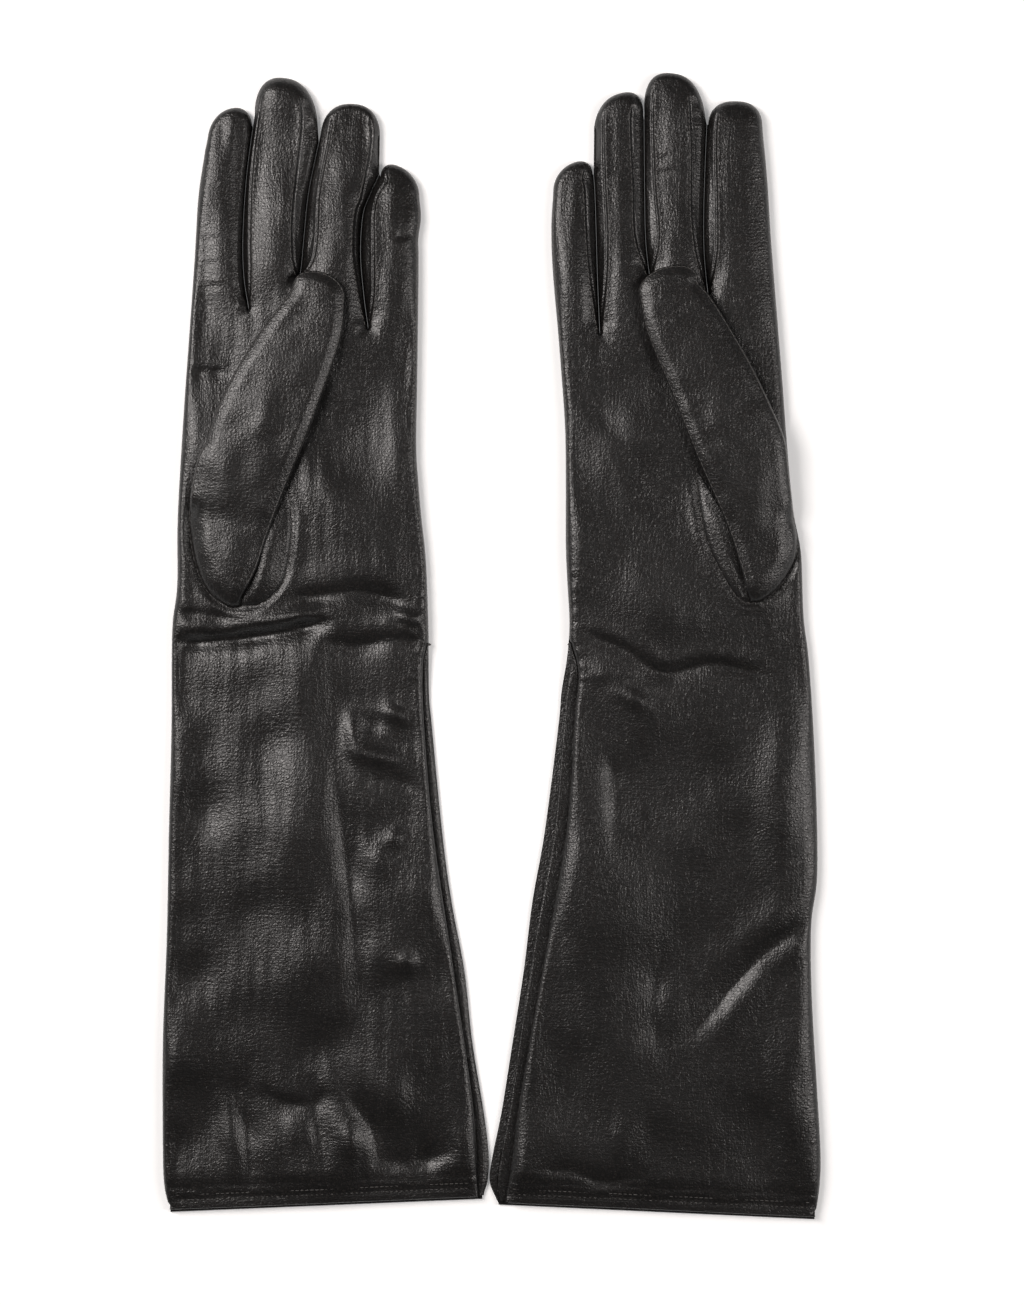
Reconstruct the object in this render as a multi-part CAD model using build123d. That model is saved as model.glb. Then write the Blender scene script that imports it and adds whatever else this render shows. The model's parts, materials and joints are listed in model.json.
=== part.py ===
"""A pair of elbow-length leather opera gloves, lying flat and empty with the palms up.

Each glove is a trank (one skin for palm and back, folded at the forefinger side), forks between
the fingers, a two-piece thumb set into an oval hole in the palm, a folded gusset that lets the
sleeve flare, a turned hem, a tack at the point of the gusset, and a thin lining in the leather.
The leather bends at the wrist, the fingers and the thumb, so its solids are parted there.

Units are millimetres. +X runs across the pair, +Y towards the fingertips, +Z up from the table.
The origin is under the middle of the pair's box, on the table.

A glove is drawn in a flat frame of its own: u across, towards the little finger, and v along,
towards the fingertips, with zero at the middle of the wrist fold. The other is its mirror image.
"""

from build123d import *

import os
from dataclasses import dataclass
from math import radians, tan

# ---- Driving dimensions -------------------------------------------------------------------
LEATHER = 0.8  # thickness of the leather
LINING = 0.4  # thickness of the lining
HEIGHT = 8.0  # outside height of the empty glove as it lies
THUMB_HEIGHT = 7.0  # how far the thumb stands up over the palm that it lies on
THUMB_LIFT = 0.35  # clear space between the thumb and the palm under it
FOLD_GAP = 0.25  # half of the slot between the solids on the two sides of a fold

WRIST_WIDTH = 97.0
PALM_BOW = 62.0  # distance of the palm's middle from the wrist fold
PALM_THUMB_SIDE = 46.6  # the palm's sides there, from the middle of the wrist
PALM_LITTLE_SIDE = 44.8
FINGER_LINE = 118.0  # the fingers are measured from this line, above the wrist fold
FINGER_START = -42.0  # outer side of the forefinger on that line
FINGER_GAP = 0.9  # least clear space between two fingers
FORK_WRAP = 3.6  # how far a fork reaches round on to the front and the back of a finger
FORK_SHORT = 8.0  # a fork ends this far before the fingertip

SLEEVE_LENGTH = 220.5  # wrist fold to hem, along the forefinger side
HEM_RISE = 3.0  # how much shorter the sleeve is along the little finger side
HEM_THUMB_SIDE = 52.6  # the hem's ends, from the line of the wrist's middle
HEM_LITTLE_SIDE = 71.6
STRAIGHT_CUFF = 32.0  # the sleeve's little finger side is straight this far below the wrist
GUSSET_AT_WRIST = 3.6  # how far the folded gusset reaches in
GUSSET_AT_HEM = 13.0
HEM_TURN = 7.0  # width of the leather turned in at the hem
TACK_RADIUS = 0.9
TACK_LENGTH = 2.4
TACK_DROP = 3.0  # the tack is this far below the wrist fold

THUMB_ROOT = (-22.0, 20.0)  # origin of the thumb's frame, on the palm
THUMB_LEAN = 19.5  # degrees towards the little finger
THUMB_LENGTH = 120.0
THUMB_FOLD = 54.0  # distance of the fold from the thumb's root
THUMB_WEB_LOW = (-31.5, 38.0)  # the thumb's corners, (across, along) in its own frame
THUMB_WEB_HIGH = (-19.0, 112.0)
THUMB_OUTER_LOW = (4.5, 38.0)
THUMB_OUTER_HIGH = (2.0, 112.0)
THUMB_SLOPE_START = 1.8  # height of the thumb's base where it leaves the palm
THUMB_SLOPE_END = 36.0  # distance along the thumb at which it has its full height
OVAL_MIDDLE = (-8.0, 24.0)  # the hole in the palm for the thumb, in the thumb's frame
OVAL_WIDTH = 41.0
OVAL_LENGTH = 64.0

PAIR_GAP = 3.0  # clear space between the two gloves at the hem
HAND_TURN = {"left": 0.0, "right": 2.1}  # degrees the hand lies turned to the little finger

FAR = 300.0  # longer than any piece, for cutting


@dataclass(frozen=True)
class Finger:
    """Sizes of one finger: lean in degrees, length and fold from the finger line, widths."""

    lean: float
    length: float
    root_width: float
    tip_width: float
    tip_round: float
    fold: float
    slot: float  # how far above the finger line the slot beside it begins


FINGERS = {
    "index": Finger(2.4, 83.6, 20.8, 17.8, 12.0, 41.0, 9.6),
    "middle": Finger(2.6, 95.6, 21.8, 21.8, 12.5, 49.0, 19.0),
    "ring": Finger(5.0, 85.6, 21.2, 21.0, 11.5, 43.5, 1.5),
    "little": Finger(2.0, 61.0, 19.8, 16.8, 10.5, 25.5, 0.0),
}
NAMES = list(FINGERS)


# ---- Shared geometry ----------------------------------------------------------------------
def slab(face, low, high):
    """A flat face drawn up from the height low to the height high."""
    return Pos(0, 0, low) * extrude(face, amount=high - low)


def polygon(*points):
    """A flat face through the points given, in order round its edge."""
    return make_face(Polyline(*points, close=True))


def leaning(origin, lean):
    """Frame at origin whose Y axis leans by that many degrees towards +u."""
    return Pos(origin[0], origin[1], 0) * Rot(0, 0, -lean)


def stretch(half_low, half_high, low, high):
    """Flat strip between two distances across and two distances along."""
    corners = [(half_low, low), (half_high, low), (half_high, high), (half_low, high)]
    return polygon(*corners)


def finger_roots():
    """Where the middle of each finger crosses the finger line, by name."""
    roots = {}
    edge = FINGER_START
    before = None
    for name, finger in FINGERS.items():
        if before:
            closing = tan(radians(before.lean - finger.lean)) * min(before.length, finger.length)
            taper = (finger.root_width - finger.tip_width) / 2
            edge += FINGER_GAP + max(0.0, closing - taper)
        roots[name] = (edge + finger.root_width / 2, FINGER_LINE)
        edge += finger.root_width
        before = finger
    return roots


ROOTS = finger_roots()


def finger_frame(name):
    """Frame of a finger: its root on the finger line, with Y along the finger."""
    return leaning(ROOTS[name], FINGERS[name].lean)


def thumb_frame():
    """Frame of the thumb: its root on the palm, with Y along the thumb."""
    return leaning(THUMB_ROOT, THUMB_LEAN)


# ---- Flat outlines ------------------------------------------------------------------------
def finger_face(name, shrink):
    """Flat outline of one finger, drawn in by shrink."""
    finger = FINGERS[name]
    root, tip = finger.root_width / 2 - shrink, finger.tip_width / 2 - shrink
    side = finger.length - finger.tip_round
    top = finger.length - shrink
    edges = [
        Line((tip, side), (root, -FINGER_GAP)),
        Line((root, -FINGER_GAP), (-root, -FINGER_GAP)),
        Line((-root, -FINGER_GAP), (-tip, side)),
        EllipticalCenterArc((0, side), tip, top - side, 0, arc_size=180),
    ]
    return finger_frame(name) * make_face(edges)


def web_face(number, shrink):
    """Flat piece of palm between two fingers, up to the bottom of their slot."""
    first, second = NAMES[number], NAMES[number + 1]
    top = FINGERS[first].slot - shrink
    corners = []
    for name, height in ((first, -1.0), (second, -1.0), (second, top), (first, top)):
        u, v = ROOTS[name]
        corners.append((u + height * tan(radians(FINGERS[name].lean)), v + height))
    return polygon(*corners)


def palm_face(shrink, below):
    """Flat outline of the palm from a line below the wrist fold up to the finger line."""
    half = WRIST_WIDTH / 2 - shrink
    top = FINGER_LINE
    left = FINGER_START + shrink
    right = ROOTS["little"][0] + FINGERS["little"].root_width / 2 - shrink
    edges = [
        Line((-half, -below), (-half, 0)),
        ThreePointArc((-half, 0), (-PALM_THUMB_SIDE + shrink, PALM_BOW), (left, top)),
        Line((left, top), (right, top)),
        ThreePointArc((right, top), (PALM_LITTLE_SIDE - shrink, PALM_BOW), (half, 0)),
        Line((half, 0), (half, -below)),
        Line((half, -below), (-half, -below)),
    ]
    return make_face(edges)


def hand_face(shrink):
    """Flat outline of the palm and all four fingers, drawn in by shrink."""
    below = WRIST_WIDTH / 2 * tan(radians(max(HAND_TURN.values()))) + LEATHER
    face = palm_face(shrink, below)
    for number in range(len(NAMES) - 1):
        face = face + web_face(number, shrink)
    for name in NAMES:
        face = face + finger_face(name, shrink)
    return face


def oval_face(shrink):
    """Flat outline of the hole in the palm that the thumb is set into."""
    oval = Ellipse(OVAL_WIDTH / 2 - shrink, OVAL_LENGTH / 2 - shrink)
    return thumb_frame() * Pos(OVAL_MIDDLE[0], OVAL_MIDDLE[1]) * oval


def thumb_face(shrink):
    """Flat outline of the thumb, from inside the oval to its tip."""
    web_low = (THUMB_WEB_LOW[0] + shrink, THUMB_WEB_LOW[1])
    web_high = (THUMB_WEB_HIGH[0] + shrink, THUMB_WEB_HIGH[1])
    outer_low = (THUMB_OUTER_LOW[0] - shrink, THUMB_OUTER_LOW[1])
    outer_high = (THUMB_OUTER_HIGH[0] - shrink, THUMB_OUTER_HIGH[1])
    tip = ((THUMB_WEB_HIGH[0] + THUMB_OUTER_HIGH[0]) / 2, THUMB_LENGTH - shrink)
    edges = [
        Line(OVAL_MIDDLE, web_low),
        Line(web_low, web_high),
        ThreePointArc(web_high, tip, outer_high),
        Line(outer_high, outer_low),
        Line(outer_low, OVAL_MIDDLE),
    ]
    return thumb_frame() * make_face(edges)


def thumb_side(v):
    """Where the sleeve's thumb side runs at v, from the line of the wrist's middle."""
    run = -v / SLEEVE_LENGTH
    return -WRIST_WIDTH / 2 + run * (WRIST_WIDTH / 2 - HEM_THUMB_SIDE)


def little_side(v):
    """Where the sleeve's little finger side runs at v."""
    run = max(0.0, -v - STRAIGHT_CUFF) / (SLEEVE_LENGTH - HEM_RISE - STRAIGHT_CUFF)
    return WRIST_WIDTH / 2 + run * (HEM_LITTLE_SIDE - WRIST_WIDTH / 2)


def gusset_fold(v):
    """Where the folded edge of the gusset runs at v, inside the sleeve."""
    run = -v / (SLEEVE_LENGTH - HEM_RISE)
    reach = GUSSET_AT_WRIST + run * (GUSSET_AT_HEM - GUSSET_AT_WRIST)
    return little_side(v) - reach


def above_hem(distance):
    """Flat region more than distance above the hem, which slopes up to the little finger."""
    slope = HEM_RISE / (HEM_THUMB_SIDE + HEM_LITTLE_SIDE)
    corners = []
    for u in (-FAR, FAR):
        corners.append((u, slope * (u + HEM_THUMB_SIDE) - SLEEVE_LENGTH + distance))
    return polygon(*corners, (FAR, FAR), (-FAR, FAR))


def sleeve_face(inset, side, shift, top, from_hem):
    """Flat outline of the sleeve: inset on its thumb side, and out to side(v) + shift."""
    bottom = -SLEEVE_LENGTH - HEM_TURN
    corners = [(thumb_side(top) + inset, top), (thumb_side(bottom) + inset, bottom)]
    for v in (bottom, -STRAIGHT_CUFF, top):
        corners.append((side(v) + shift, v))
    return polygon(*corners) & above_hem(from_hem)


# ---- Hand, fingers and thumb --------------------------------------------------------------
def tube(face_for, outer, inner, low, high):
    """A flat tube between the outline drawn in by outer and the one drawn in by inner."""
    outside = slab(face_for(outer), low + outer, high - outer)
    return outside - slab(face_for(inner), low + inner, high - inner)


def half_width(finger, along):
    """Half of a finger's width at a distance along it."""
    run = min(1.0, max(0.0, along / (finger.length - finger.tip_round)))
    return (finger.root_width + run * (finger.tip_width - finger.root_width)) / 2


def past_finger_fold(name, gap):
    """Block that holds a finger beyond its fold, and gap more before it."""
    finger = FINGERS[name]
    low, high = finger.fold - gap, finger.length + FINGER_GAP
    wide, narrow = [half_width(finger, along) + FINGER_GAP / 3 for along in (low, high)]
    strip = polygon((-wide, low), (wide, low), (narrow, high), (-narrow, high))
    return slab(finger_frame(name) * strip, -1, HEIGHT + 1)


def fork_strip(name, side, low, high):
    """Block over one side of a finger, side -1 or 1, that its fork covers."""
    finger = FINGERS[name]
    corners = []
    for along, reach in (
        (low, FINGER_GAP / 2),
        (high, FINGER_GAP / 2),
        (high, -FORK_WRAP),
        (low, -FORK_WRAP),
    ):
        corners.append((side * (half_width(finger, along) + reach), along))
    return slab(finger_frame(name) * polygon(*corners), -1, HEIGHT + 1)


def fork_root(number):
    """Block over a slot between two fingers that the root of its fork covers."""
    first, second = NAMES[number], NAMES[number + 1]
    start = FINGERS[first].slot - FORK_WRAP
    block = fork_strip(first, 1, start, FINGERS[first].length)
    block = block + fork_strip(second, -1, start, FINGERS[second].length)
    middle = (ROOTS[first][0] + ROOTS[second][0]) / 2
    middle += start * tan(radians(FINGERS[first].lean))
    bridge = stretch(-FORK_WRAP, FORK_WRAP, start, start + 2 * FORK_WRAP)
    return block + slab(Pos(middle, FINGER_LINE) * bridge, -1, HEIGHT + 1)


def thumb_block(low, high):
    """Block across the thumb between two distances along it."""
    return slab(thumb_frame() * stretch(-FAR, FAR, low, high), -1, FAR)


def slope_block(shrink):
    """Block under the thumb's sloping top, drawn in by shrink."""
    start = OVAL_MIDDLE[1] - OVAL_LENGTH / 2
    rise = (THUMB_HEIGHT - THUMB_SLOPE_START) / (THUMB_SLOPE_END - start)
    low = THUMB_SLOPE_START - shrink - FAR * rise
    top = HEIGHT + THUMB_HEIGHT - shrink
    corners = [(start - FAR, HEIGHT + low), (THUMB_SLOPE_END, top), (FAR, top)]
    corners += [(FAR, -FAR), (start - FAR, -FAR)]
    profile = Plane.YZ * polygon(*corners)
    return thumb_frame() * Pos(-FAR / 2, 0, 0) * extrude(profile, amount=FAR, dir=(1, 0, 0))


def thumb_base(palm_hole_depth):
    """The lower end of both thumb panels, sewn round the hole in the palm."""

    def outline(shrink):
        return oval_face(shrink) + thumb_face(shrink)

    top = HEIGHT + THUMB_HEIGHT
    outside = slab(outline(0), HEIGHT, top) & slope_block(0)
    outside = outside + slab(oval_face(0), HEIGHT - palm_hole_depth, HEIGHT)
    inside = slab(outline(LEATHER), HEIGHT + LEATHER, top - LEATHER) & slope_block(LEATHER)
    inside = inside + slab(oval_face(LEATHER), 0, HEIGHT + LEATHER)
    return (outside - inside) - thumb_block(THUMB_FOLD - FOLD_GAP, FAR)


def thumb_parts():
    """Nodes of the thumb beyond its fold: its front and back panels and its lining."""
    low, high = HEIGHT + THUMB_LIFT, HEIGHT + THUMB_HEIGHT
    seam = (low + high) / 2
    keep = thumb_block(THUMB_FOLD + FOLD_GAP, FAR)
    leather = tube(thumb_face, 0, LEATHER, low, high) & keep
    upper = Pos(0, 0, seam + FAR / 2) * Box(3 * FAR, 3 * FAR, FAR)
    lining = tube(thumb_face, LEATHER, LEATHER + LINING, low, high) & keep
    return {"thumb_front": leather & upper, "thumb_back": leather - upper, "thumb_lining": lining}


def finger_parts(name, leather, lining):
    """Nodes of one finger beyond its fold, cut from the hand's leather and lining."""
    block = past_finger_fold(name, -FOLD_GAP)
    strips = leather & block
    parts = {}
    end = FINGERS[name].length - FORK_SHORT
    for side, label, has_fork in (
        (-1, "inner", name != NAMES[0]),
        (1, "outer", name != NAMES[-1]),
    ):
        if has_fork:
            region = fork_strip(name, side, 0, end)
            parts[f"{name}_fork_{label}"] = strips & region
            strips = strips - region
    parts[f"{name}_strips"] = strips
    parts[f"{name}_lining"] = lining & block
    return parts


def hand_parts():
    """Nodes of the hand with its fingers and thumb, by body; the palm runs below the wrist."""
    leather = tube(hand_face, 0, LEATHER, 0, HEIGHT)
    lining = tube(hand_face, LEATHER, LEATHER + LINING, 0, HEIGHT)
    bodies = {name: finger_parts(name, leather, lining) for name in NAMES}
    hole = slab(oval_face(0), HEIGHT / 2, HEIGHT + 1)
    lining_hole = slab(oval_face(LEATHER), HEIGHT / 2, HEIGHT + 1)
    palm, palm_lining = leather - hole, lining - lining_hole
    for name in NAMES:
        block = past_finger_fold(name, FOLD_GAP)
        palm, palm_lining = palm - block, palm_lining - block
    hand = {}
    for number in range(len(NAMES) - 1):
        region = fork_root(number)
        hand[f"fork_root_{NAMES[number]}_{NAMES[number + 1]}"] = palm & region
        palm = palm - region
    hand["hand_trank"] = palm
    hand["hand_lining"] = palm_lining
    hand["thumb_base"] = thumb_base(LEATHER)
    return {"hand": hand, **bodies, "thumb": thumb_parts()}


# ---- Sleeve -------------------------------------------------------------------------------
def sleeve_shell(wall, base, top, from_hem):
    """Closed tube of one wall inside the trank, from its thumb side to the gusset's fold.

    base is how deep its outer face lies, top its upper end, from_hem its distance to the hem.
    """
    outer = sleeve_face(base, gusset_fold, 0, top, from_hem)
    inner = sleeve_face(base + wall, gusset_fold, -wall, 1, -1)
    deep = base + wall
    return slab(outer, base, HEIGHT - base) - slab(inner, deep, HEIGHT - deep)


def gusset_part(top):
    """The gusset: leather folded in between the palm and the back, its edges sewn to both."""
    low, high = LEATHER, HEIGHT - LEATHER
    outside = slab(sleeve_face(0, little_side, 0, top, 0), low, high)
    outside = outside - slab(sleeve_face(-1, gusset_fold, 0, 1, -1), low - 1, high + 1)
    groove = slab(sleeve_face(0, little_side, 1, 1, -1), low + LEATHER, high - LEATHER)
    groove = groove - slab(sleeve_face(-1, gusset_fold, LEATHER, 2, -2), low, high)
    return outside - groove


def tack_part():
    """The knot of thread at the point of the gusset, on the edge of the leather."""
    place = Pos(little_side(-TACK_DROP), -TACK_DROP, HEIGHT - LEATHER / 2) * Rot(90, 0, 0)
    knot = place * Cylinder(TACK_RADIUS, TACK_LENGTH)
    return knot - slab(sleeve_face(-1, little_side, 0, 1, 0), -1, HEIGHT)


def sleeve_parts():
    """Nodes of the sleeve below the wrist fold."""
    top = -FOLD_GAP
    trank = slab(sleeve_face(0, little_side, 0, top, 0), 0, HEIGHT)
    trank = trank - slab(sleeve_face(LEATHER, little_side, 1, 1, -1), LEATHER, HEIGHT - LEATHER)
    turn = sleeve_shell(LEATHER, LEATHER, top, 0)
    turn = turn - slab(sleeve_face(-1, little_side, 1, 1, HEM_TURN), -1, HEIGHT + 1)
    return {
        "sleeve_trank": trank,
        "gusset": gusset_part(top),
        "hem_turn": turn,
        "sleeve_lining": sleeve_shell(LINING, LEATHER, top, HEM_TURN),
        "gusset_tack": tack_part(),
    }


# ---- The pair -----------------------------------------------------------------------------
def side_location(side):
    """Where a glove's wrist middle lies before the pair is centred."""
    away = HEM_LITTLE_SIDE + PAIR_GAP / 2
    return Pos(-away if side == "left" else away, 0, 0)


def glove(side, sleeve, hand_bodies):
    """All nodes of one glove, by name, in the pair's frame before it is centred."""
    above_wrist = slab(stretch(-FAR, FAR, FOLD_GAP, FAR), -1, FAR)
    turn = Rot(0, 0, -HAND_TURN[side])
    nodes = dict(sleeve)
    for body, parts in hand_bodies.items():
        for name, part in parts.items():
            turned = turn * part
            nodes[name] = turned & above_wrist if body == "hand" else turned
    placed = {}
    for name, part in nodes.items():
        whole = part if side == "left" else mirror(part, about=Plane.YZ)
        placed[f"{side}_{name}"] = side_location(side) * whole
    return placed


def fold_lines(side):
    """Middle point and direction of each fold of one glove, at the palm's upper face."""
    turn = Rot(0, 0, -HAND_TURN[side])
    lines = {"wrist": Location((0, 0, HEIGHT))}
    for name in NAMES:
        lines[name] = turn * finger_frame(name) * Pos(0, FINGERS[name].fold, HEIGHT)
    middle = (THUMB_WEB_LOW[0] + THUMB_OUTER_LOW[0]) / 2
    lines["thumb"] = turn * thumb_frame() * Pos(middle, THUMB_FOLD, HEIGHT + THUMB_HEIGHT)
    return lines


def report_fold_lines(centre):
    """Print each fold's point and axis in the finished frame, in millimetres."""
    for side in HAND_TURN:
        sign = 1 if side == "left" else -1
        away = side_location(side).position
        for name, place in fold_lines(side).items():
            across = Plane(place).x_dir
            point = Vector(sign * place.position.X, place.position.Y, place.position.Z) + away - centre
            print(
                f"fold {side}_{name} at {point.X:.3f} {point.Y:.3f} {point.Z:.3f}"
                f" axis {across.X:.5f} {sign * across.Y:.5f} {across.Z:.5f}"
            )


def main():
    """Build both gloves, centre the pair over the origin and write each node."""
    os.makedirs("parts", exist_ok=True)
    sleeve = sleeve_parts()
    hand_bodies = hand_parts()
    nodes = {}
    for side in HAND_TURN:
        nodes.update(glove(side, sleeve, hand_bodies))
    lows = [part.bounding_box().min for part in nodes.values()]
    highs = [part.bounding_box().max for part in nodes.values()]
    centre = Vector(
        (min(low.X for low in lows) + max(high.X for high in highs)) / 2,
        (min(low.Y for low in lows) + max(high.Y for high in highs)) / 2,
        0,
    )
    for name, part in nodes.items():
        export_step(Pos(-centre.X, -centre.Y, 0) * part, f"parts/{name}.step")
    report_fold_lines(centre)


main()
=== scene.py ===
"""A pair of black kid opera gloves lying flat on a pale table, palms up.

Each glove is drawn in a flat frame of its own, in millimetres: u across towards the little finger,
v along towards the fingertips, with zero at the middle of the wrist fold, and z up from the table.
One skin function gives the height of the leather over that plane; the sheets, seams, stitches,
lining and hem are all laid on it. The other glove is the mirror image, with sizes of its own.
"""

from __future__ import annotations

import json
import logging
import math
from dataclasses import dataclass, field
from enum import Enum

import bmesh
import bpy
import numpy as np
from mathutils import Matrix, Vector
from mathutils.geometry import delaunay_2d_cdt

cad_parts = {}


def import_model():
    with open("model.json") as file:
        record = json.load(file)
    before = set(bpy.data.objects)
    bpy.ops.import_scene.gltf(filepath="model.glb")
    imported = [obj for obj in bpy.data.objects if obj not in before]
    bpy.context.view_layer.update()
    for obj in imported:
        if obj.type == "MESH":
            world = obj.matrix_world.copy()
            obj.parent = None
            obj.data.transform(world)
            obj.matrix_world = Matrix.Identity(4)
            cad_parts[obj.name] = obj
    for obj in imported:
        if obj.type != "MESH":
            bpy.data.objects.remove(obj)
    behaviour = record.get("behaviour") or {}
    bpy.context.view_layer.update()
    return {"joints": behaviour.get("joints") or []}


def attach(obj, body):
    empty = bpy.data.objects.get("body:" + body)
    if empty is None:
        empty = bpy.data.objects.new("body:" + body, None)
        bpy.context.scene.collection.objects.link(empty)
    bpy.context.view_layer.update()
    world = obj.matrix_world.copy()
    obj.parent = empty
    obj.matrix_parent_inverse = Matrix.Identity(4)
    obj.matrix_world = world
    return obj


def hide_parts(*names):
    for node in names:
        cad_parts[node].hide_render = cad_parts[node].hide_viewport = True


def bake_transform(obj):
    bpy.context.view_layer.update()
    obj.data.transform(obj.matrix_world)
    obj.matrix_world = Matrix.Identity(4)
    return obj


LOG = logging.getLogger("gloves")
MM = 0.001  # a millimetre in the row's metres
Point = tuple[float, float]
Colour = tuple[float, float, float, float]
Array = np.ndarray


class Side(Enum):
    """Which hand a glove is for."""

    LEFT = "left"
    RIGHT = "right"


class Layer(Enum):
    """Which of a glove's two flat sheets of leather."""

    PALM = "palm"
    BACK = "back"


# ---- Curves and fields --------------------------------------------------------------------
def smoothstep(low: float, high: float, x: Array) -> Array:
    """Smooth ramp from 0 at low to 1 at high."""
    t = np.clip((x - low) / (high - low), 0.0, 1.0)
    return t * t * (3.0 - 2.0 * t)


def smooth_path(points: list[Point], step: float = 1.2) -> Array:
    """Sample a smooth curve through points.

    Args:
        points: The points that the curve passes through, in millimetres.
        step: The distance between samples.

    Returns:
        The samples, one row each.
    """
    p = np.array(points, float)
    if len(p) == 2:
        count = max(2, int(np.linalg.norm(p[1] - p[0]) / step) + 1)
        return p[0] + np.linspace(0, 1, count)[:, None] * (p[1] - p[0])
    ends = np.vstack([2 * p[0] - p[1], p, 2 * p[-1] - p[-2]])
    rows = []
    for a, b, c, d in zip(ends, ends[1:], ends[2:], ends[3:]):
        count = max(2, int(round(np.linalg.norm(c - b) / step)))
        t = (np.arange(count) / count)[:, None]
        rows.append(
            0.5
            * (
                2 * b
                + (c - a) * t
                + (2 * a - 5 * b + 4 * c - d) * t**2
                + (3 * b - a - 3 * c + d) * t**3
            )
        )
    rows.append(p[-1:])
    return np.vstack(rows)


def rounded(x: Array) -> Array:
    """Quarter circle that rises from 0 at 0 to 1 at 1 and beyond."""
    return np.sqrt(np.maximum(0.0, 1.0 - (1.0 - np.clip(x, 0.0, 1.0)) ** 2))


def bell(x: Array) -> Array:
    """Bell curve, 1 at 0."""
    return np.exp(-(x**2))


def tip_path(start: Point, top: Point, end: Point, fullness: float, step: float = 0.9) -> Array:
    """Sample a rounded fingertip from start over top to end, without its two ends."""
    a, t, b = np.array(start), np.array(top), np.array(end)
    centre, across = (a + b) / 2, (b - a) / 2
    rise = t - centre
    count = int(math.pi * (np.linalg.norm(across) + np.linalg.norm(rise)) / 2 / step)
    angle = np.linspace(math.pi, 0.0, count)[1:-1, None]
    power = 2.0 / fullness
    cosine = np.sign(np.cos(angle)) * np.abs(np.cos(angle)) ** power
    return centre + across * cosine + rise * np.abs(np.sin(angle)) ** power


def to_path(points: Array, path: Array, reach: float = 16.0) -> tuple[Array, Array, Array]:
    """Measure points against a path.

    Args:
        points: Points, one row each.
        path: The path's samples.
        reach: The distance beyond which points aren't measured.

    Returns:
        The distance of each point, at most reach, its side (positive on the path's left), and how
        far along the path it lies, from 0 to 1.
    """
    order = np.argsort(points[:, 1], kind="stable")
    ordered = points[order]
    best = np.full(len(points), reach)
    side = np.zeros(len(points))
    along = np.zeros(len(points))
    lengths = np.linalg.norm(np.diff(path, axis=0), axis=1)
    starts = np.concatenate([[0.0], np.cumsum(lengths)])
    total = max(starts[-1], 1e-9)
    low = np.minimum(path[:-1, 1], path[1:, 1]) - reach
    high = np.maximum(path[:-1, 1], path[1:, 1]) + reach
    firsts = np.searchsorted(ordered[:, 1], low)
    lasts = np.searchsorted(ordered[:, 1], high)
    for i, (a, b) in enumerate(zip(path, path[1:])):
        if lengths[i] < 1e-9 or firsts[i] == lasts[i]:
            continue
        block = slice(firsts[i], lasts[i])
        d = b - a
        x = ordered[block, 0] - a[0]
        y = ordered[block, 1] - a[1]
        t = np.clip((x * d[0] + y * d[1]) / lengths[i] ** 2, 0.0, 1.0)
        dist = np.hypot(x - t * d[0], y - t * d[1])
        near = np.flatnonzero(dist < best[block])
        at = near + firsts[i]
        best[at] = dist[near]
        side[at] = np.sign(d[0] * y[near] - d[1] * x[near])
        along[at] = (starts[i] + t[near] * lengths[i]) / total
    back = np.empty_like(order)
    back[order] = np.arange(len(order))
    return best[back], side[back], along[back]


@dataclass(frozen=True)
class Crease:
    """A fold pressed into the leather: a valley, with a lifted ridge on the left of its path.

    fade is the share of the path over which each end dies away, and bank the ridge's distance from
    the path in widths.
    """

    points: list[Point]
    depth: float
    width: float
    ridge: float = 0.0
    fade: float = 0.25
    bank: float = 1.8

    def height(self, points: Array) -> Array:
        """How much the crease moves the leather up at points."""
        path = smooth_path(self.points, 2.0)
        far = 5.0 * self.width
        low, high = path.min(axis=0) - far, path.max(axis=0) + far
        near = np.all((points > low) & (points < high), axis=1)
        out = np.zeros(len(points))
        if not near.any():
            return out
        dist, side, along = to_path(points[near], path, far)
        x = dist * side / self.width
        ends = smoothstep(0, self.fade, along) * smoothstep(0, self.fade, 1 - along)
        ends = ends * (1.0 + 0.22 * np.sin(17.0 * along + 5.0 * self.depth))
        valley = -self.depth / (1.0 + np.where(x > 0, (x / 0.8) ** 2, (x / 1.5) ** 2)) ** 1.5
        lip = self.ridge * bell((x - self.bank) / 1.2)
        out[near] = (valley + lip) * ends * smoothstep(far, 0.6 * far, dist)
        return out


@dataclass(frozen=True)
class Swell:
    """A soft hump (or hollow, where high is negative) in the leather."""

    centre: Point
    size: Point
    high: float
    turn: float = 0.0

    def height(self, points: Array) -> Array:
        """How much the swell moves the leather up at points."""
        a = math.radians(self.turn)
        rel = points - np.array(self.centre)
        x = (rel[:, 0] * math.cos(a) + rel[:, 1] * math.sin(a)) / self.size[0]
        y = (-rel[:, 0] * math.sin(a) + rel[:, 1] * math.cos(a)) / self.size[1]
        return self.high * np.exp(-(x * x + y * y))


@dataclass(frozen=True)
class Waves:
    """Gentle unevenness of the leather, as a sum of seeded plane waves."""

    seed: int
    high: float
    shortest: float
    longest: float
    stretch: float = 1.0
    count: int = 18

    def height(self, points: Array) -> Array:
        """How much the waves move the leather up at points."""
        draw = np.random.default_rng(self.seed)
        out = np.zeros(len(points))
        for _ in range(self.count):
            angle = draw.uniform(0, math.pi)
            length = math.exp(draw.uniform(math.log(self.shortest), math.log(self.longest)))
            phase = draw.uniform(0, 2 * math.pi)
            across = points[:, 0] * math.cos(angle)
            down = points[:, 1] * math.sin(angle) / self.stretch
            out += np.sin(2 * math.pi * (across + down) / length + phase) * length / self.longest
        return out * self.high / math.sqrt(self.count)


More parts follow.
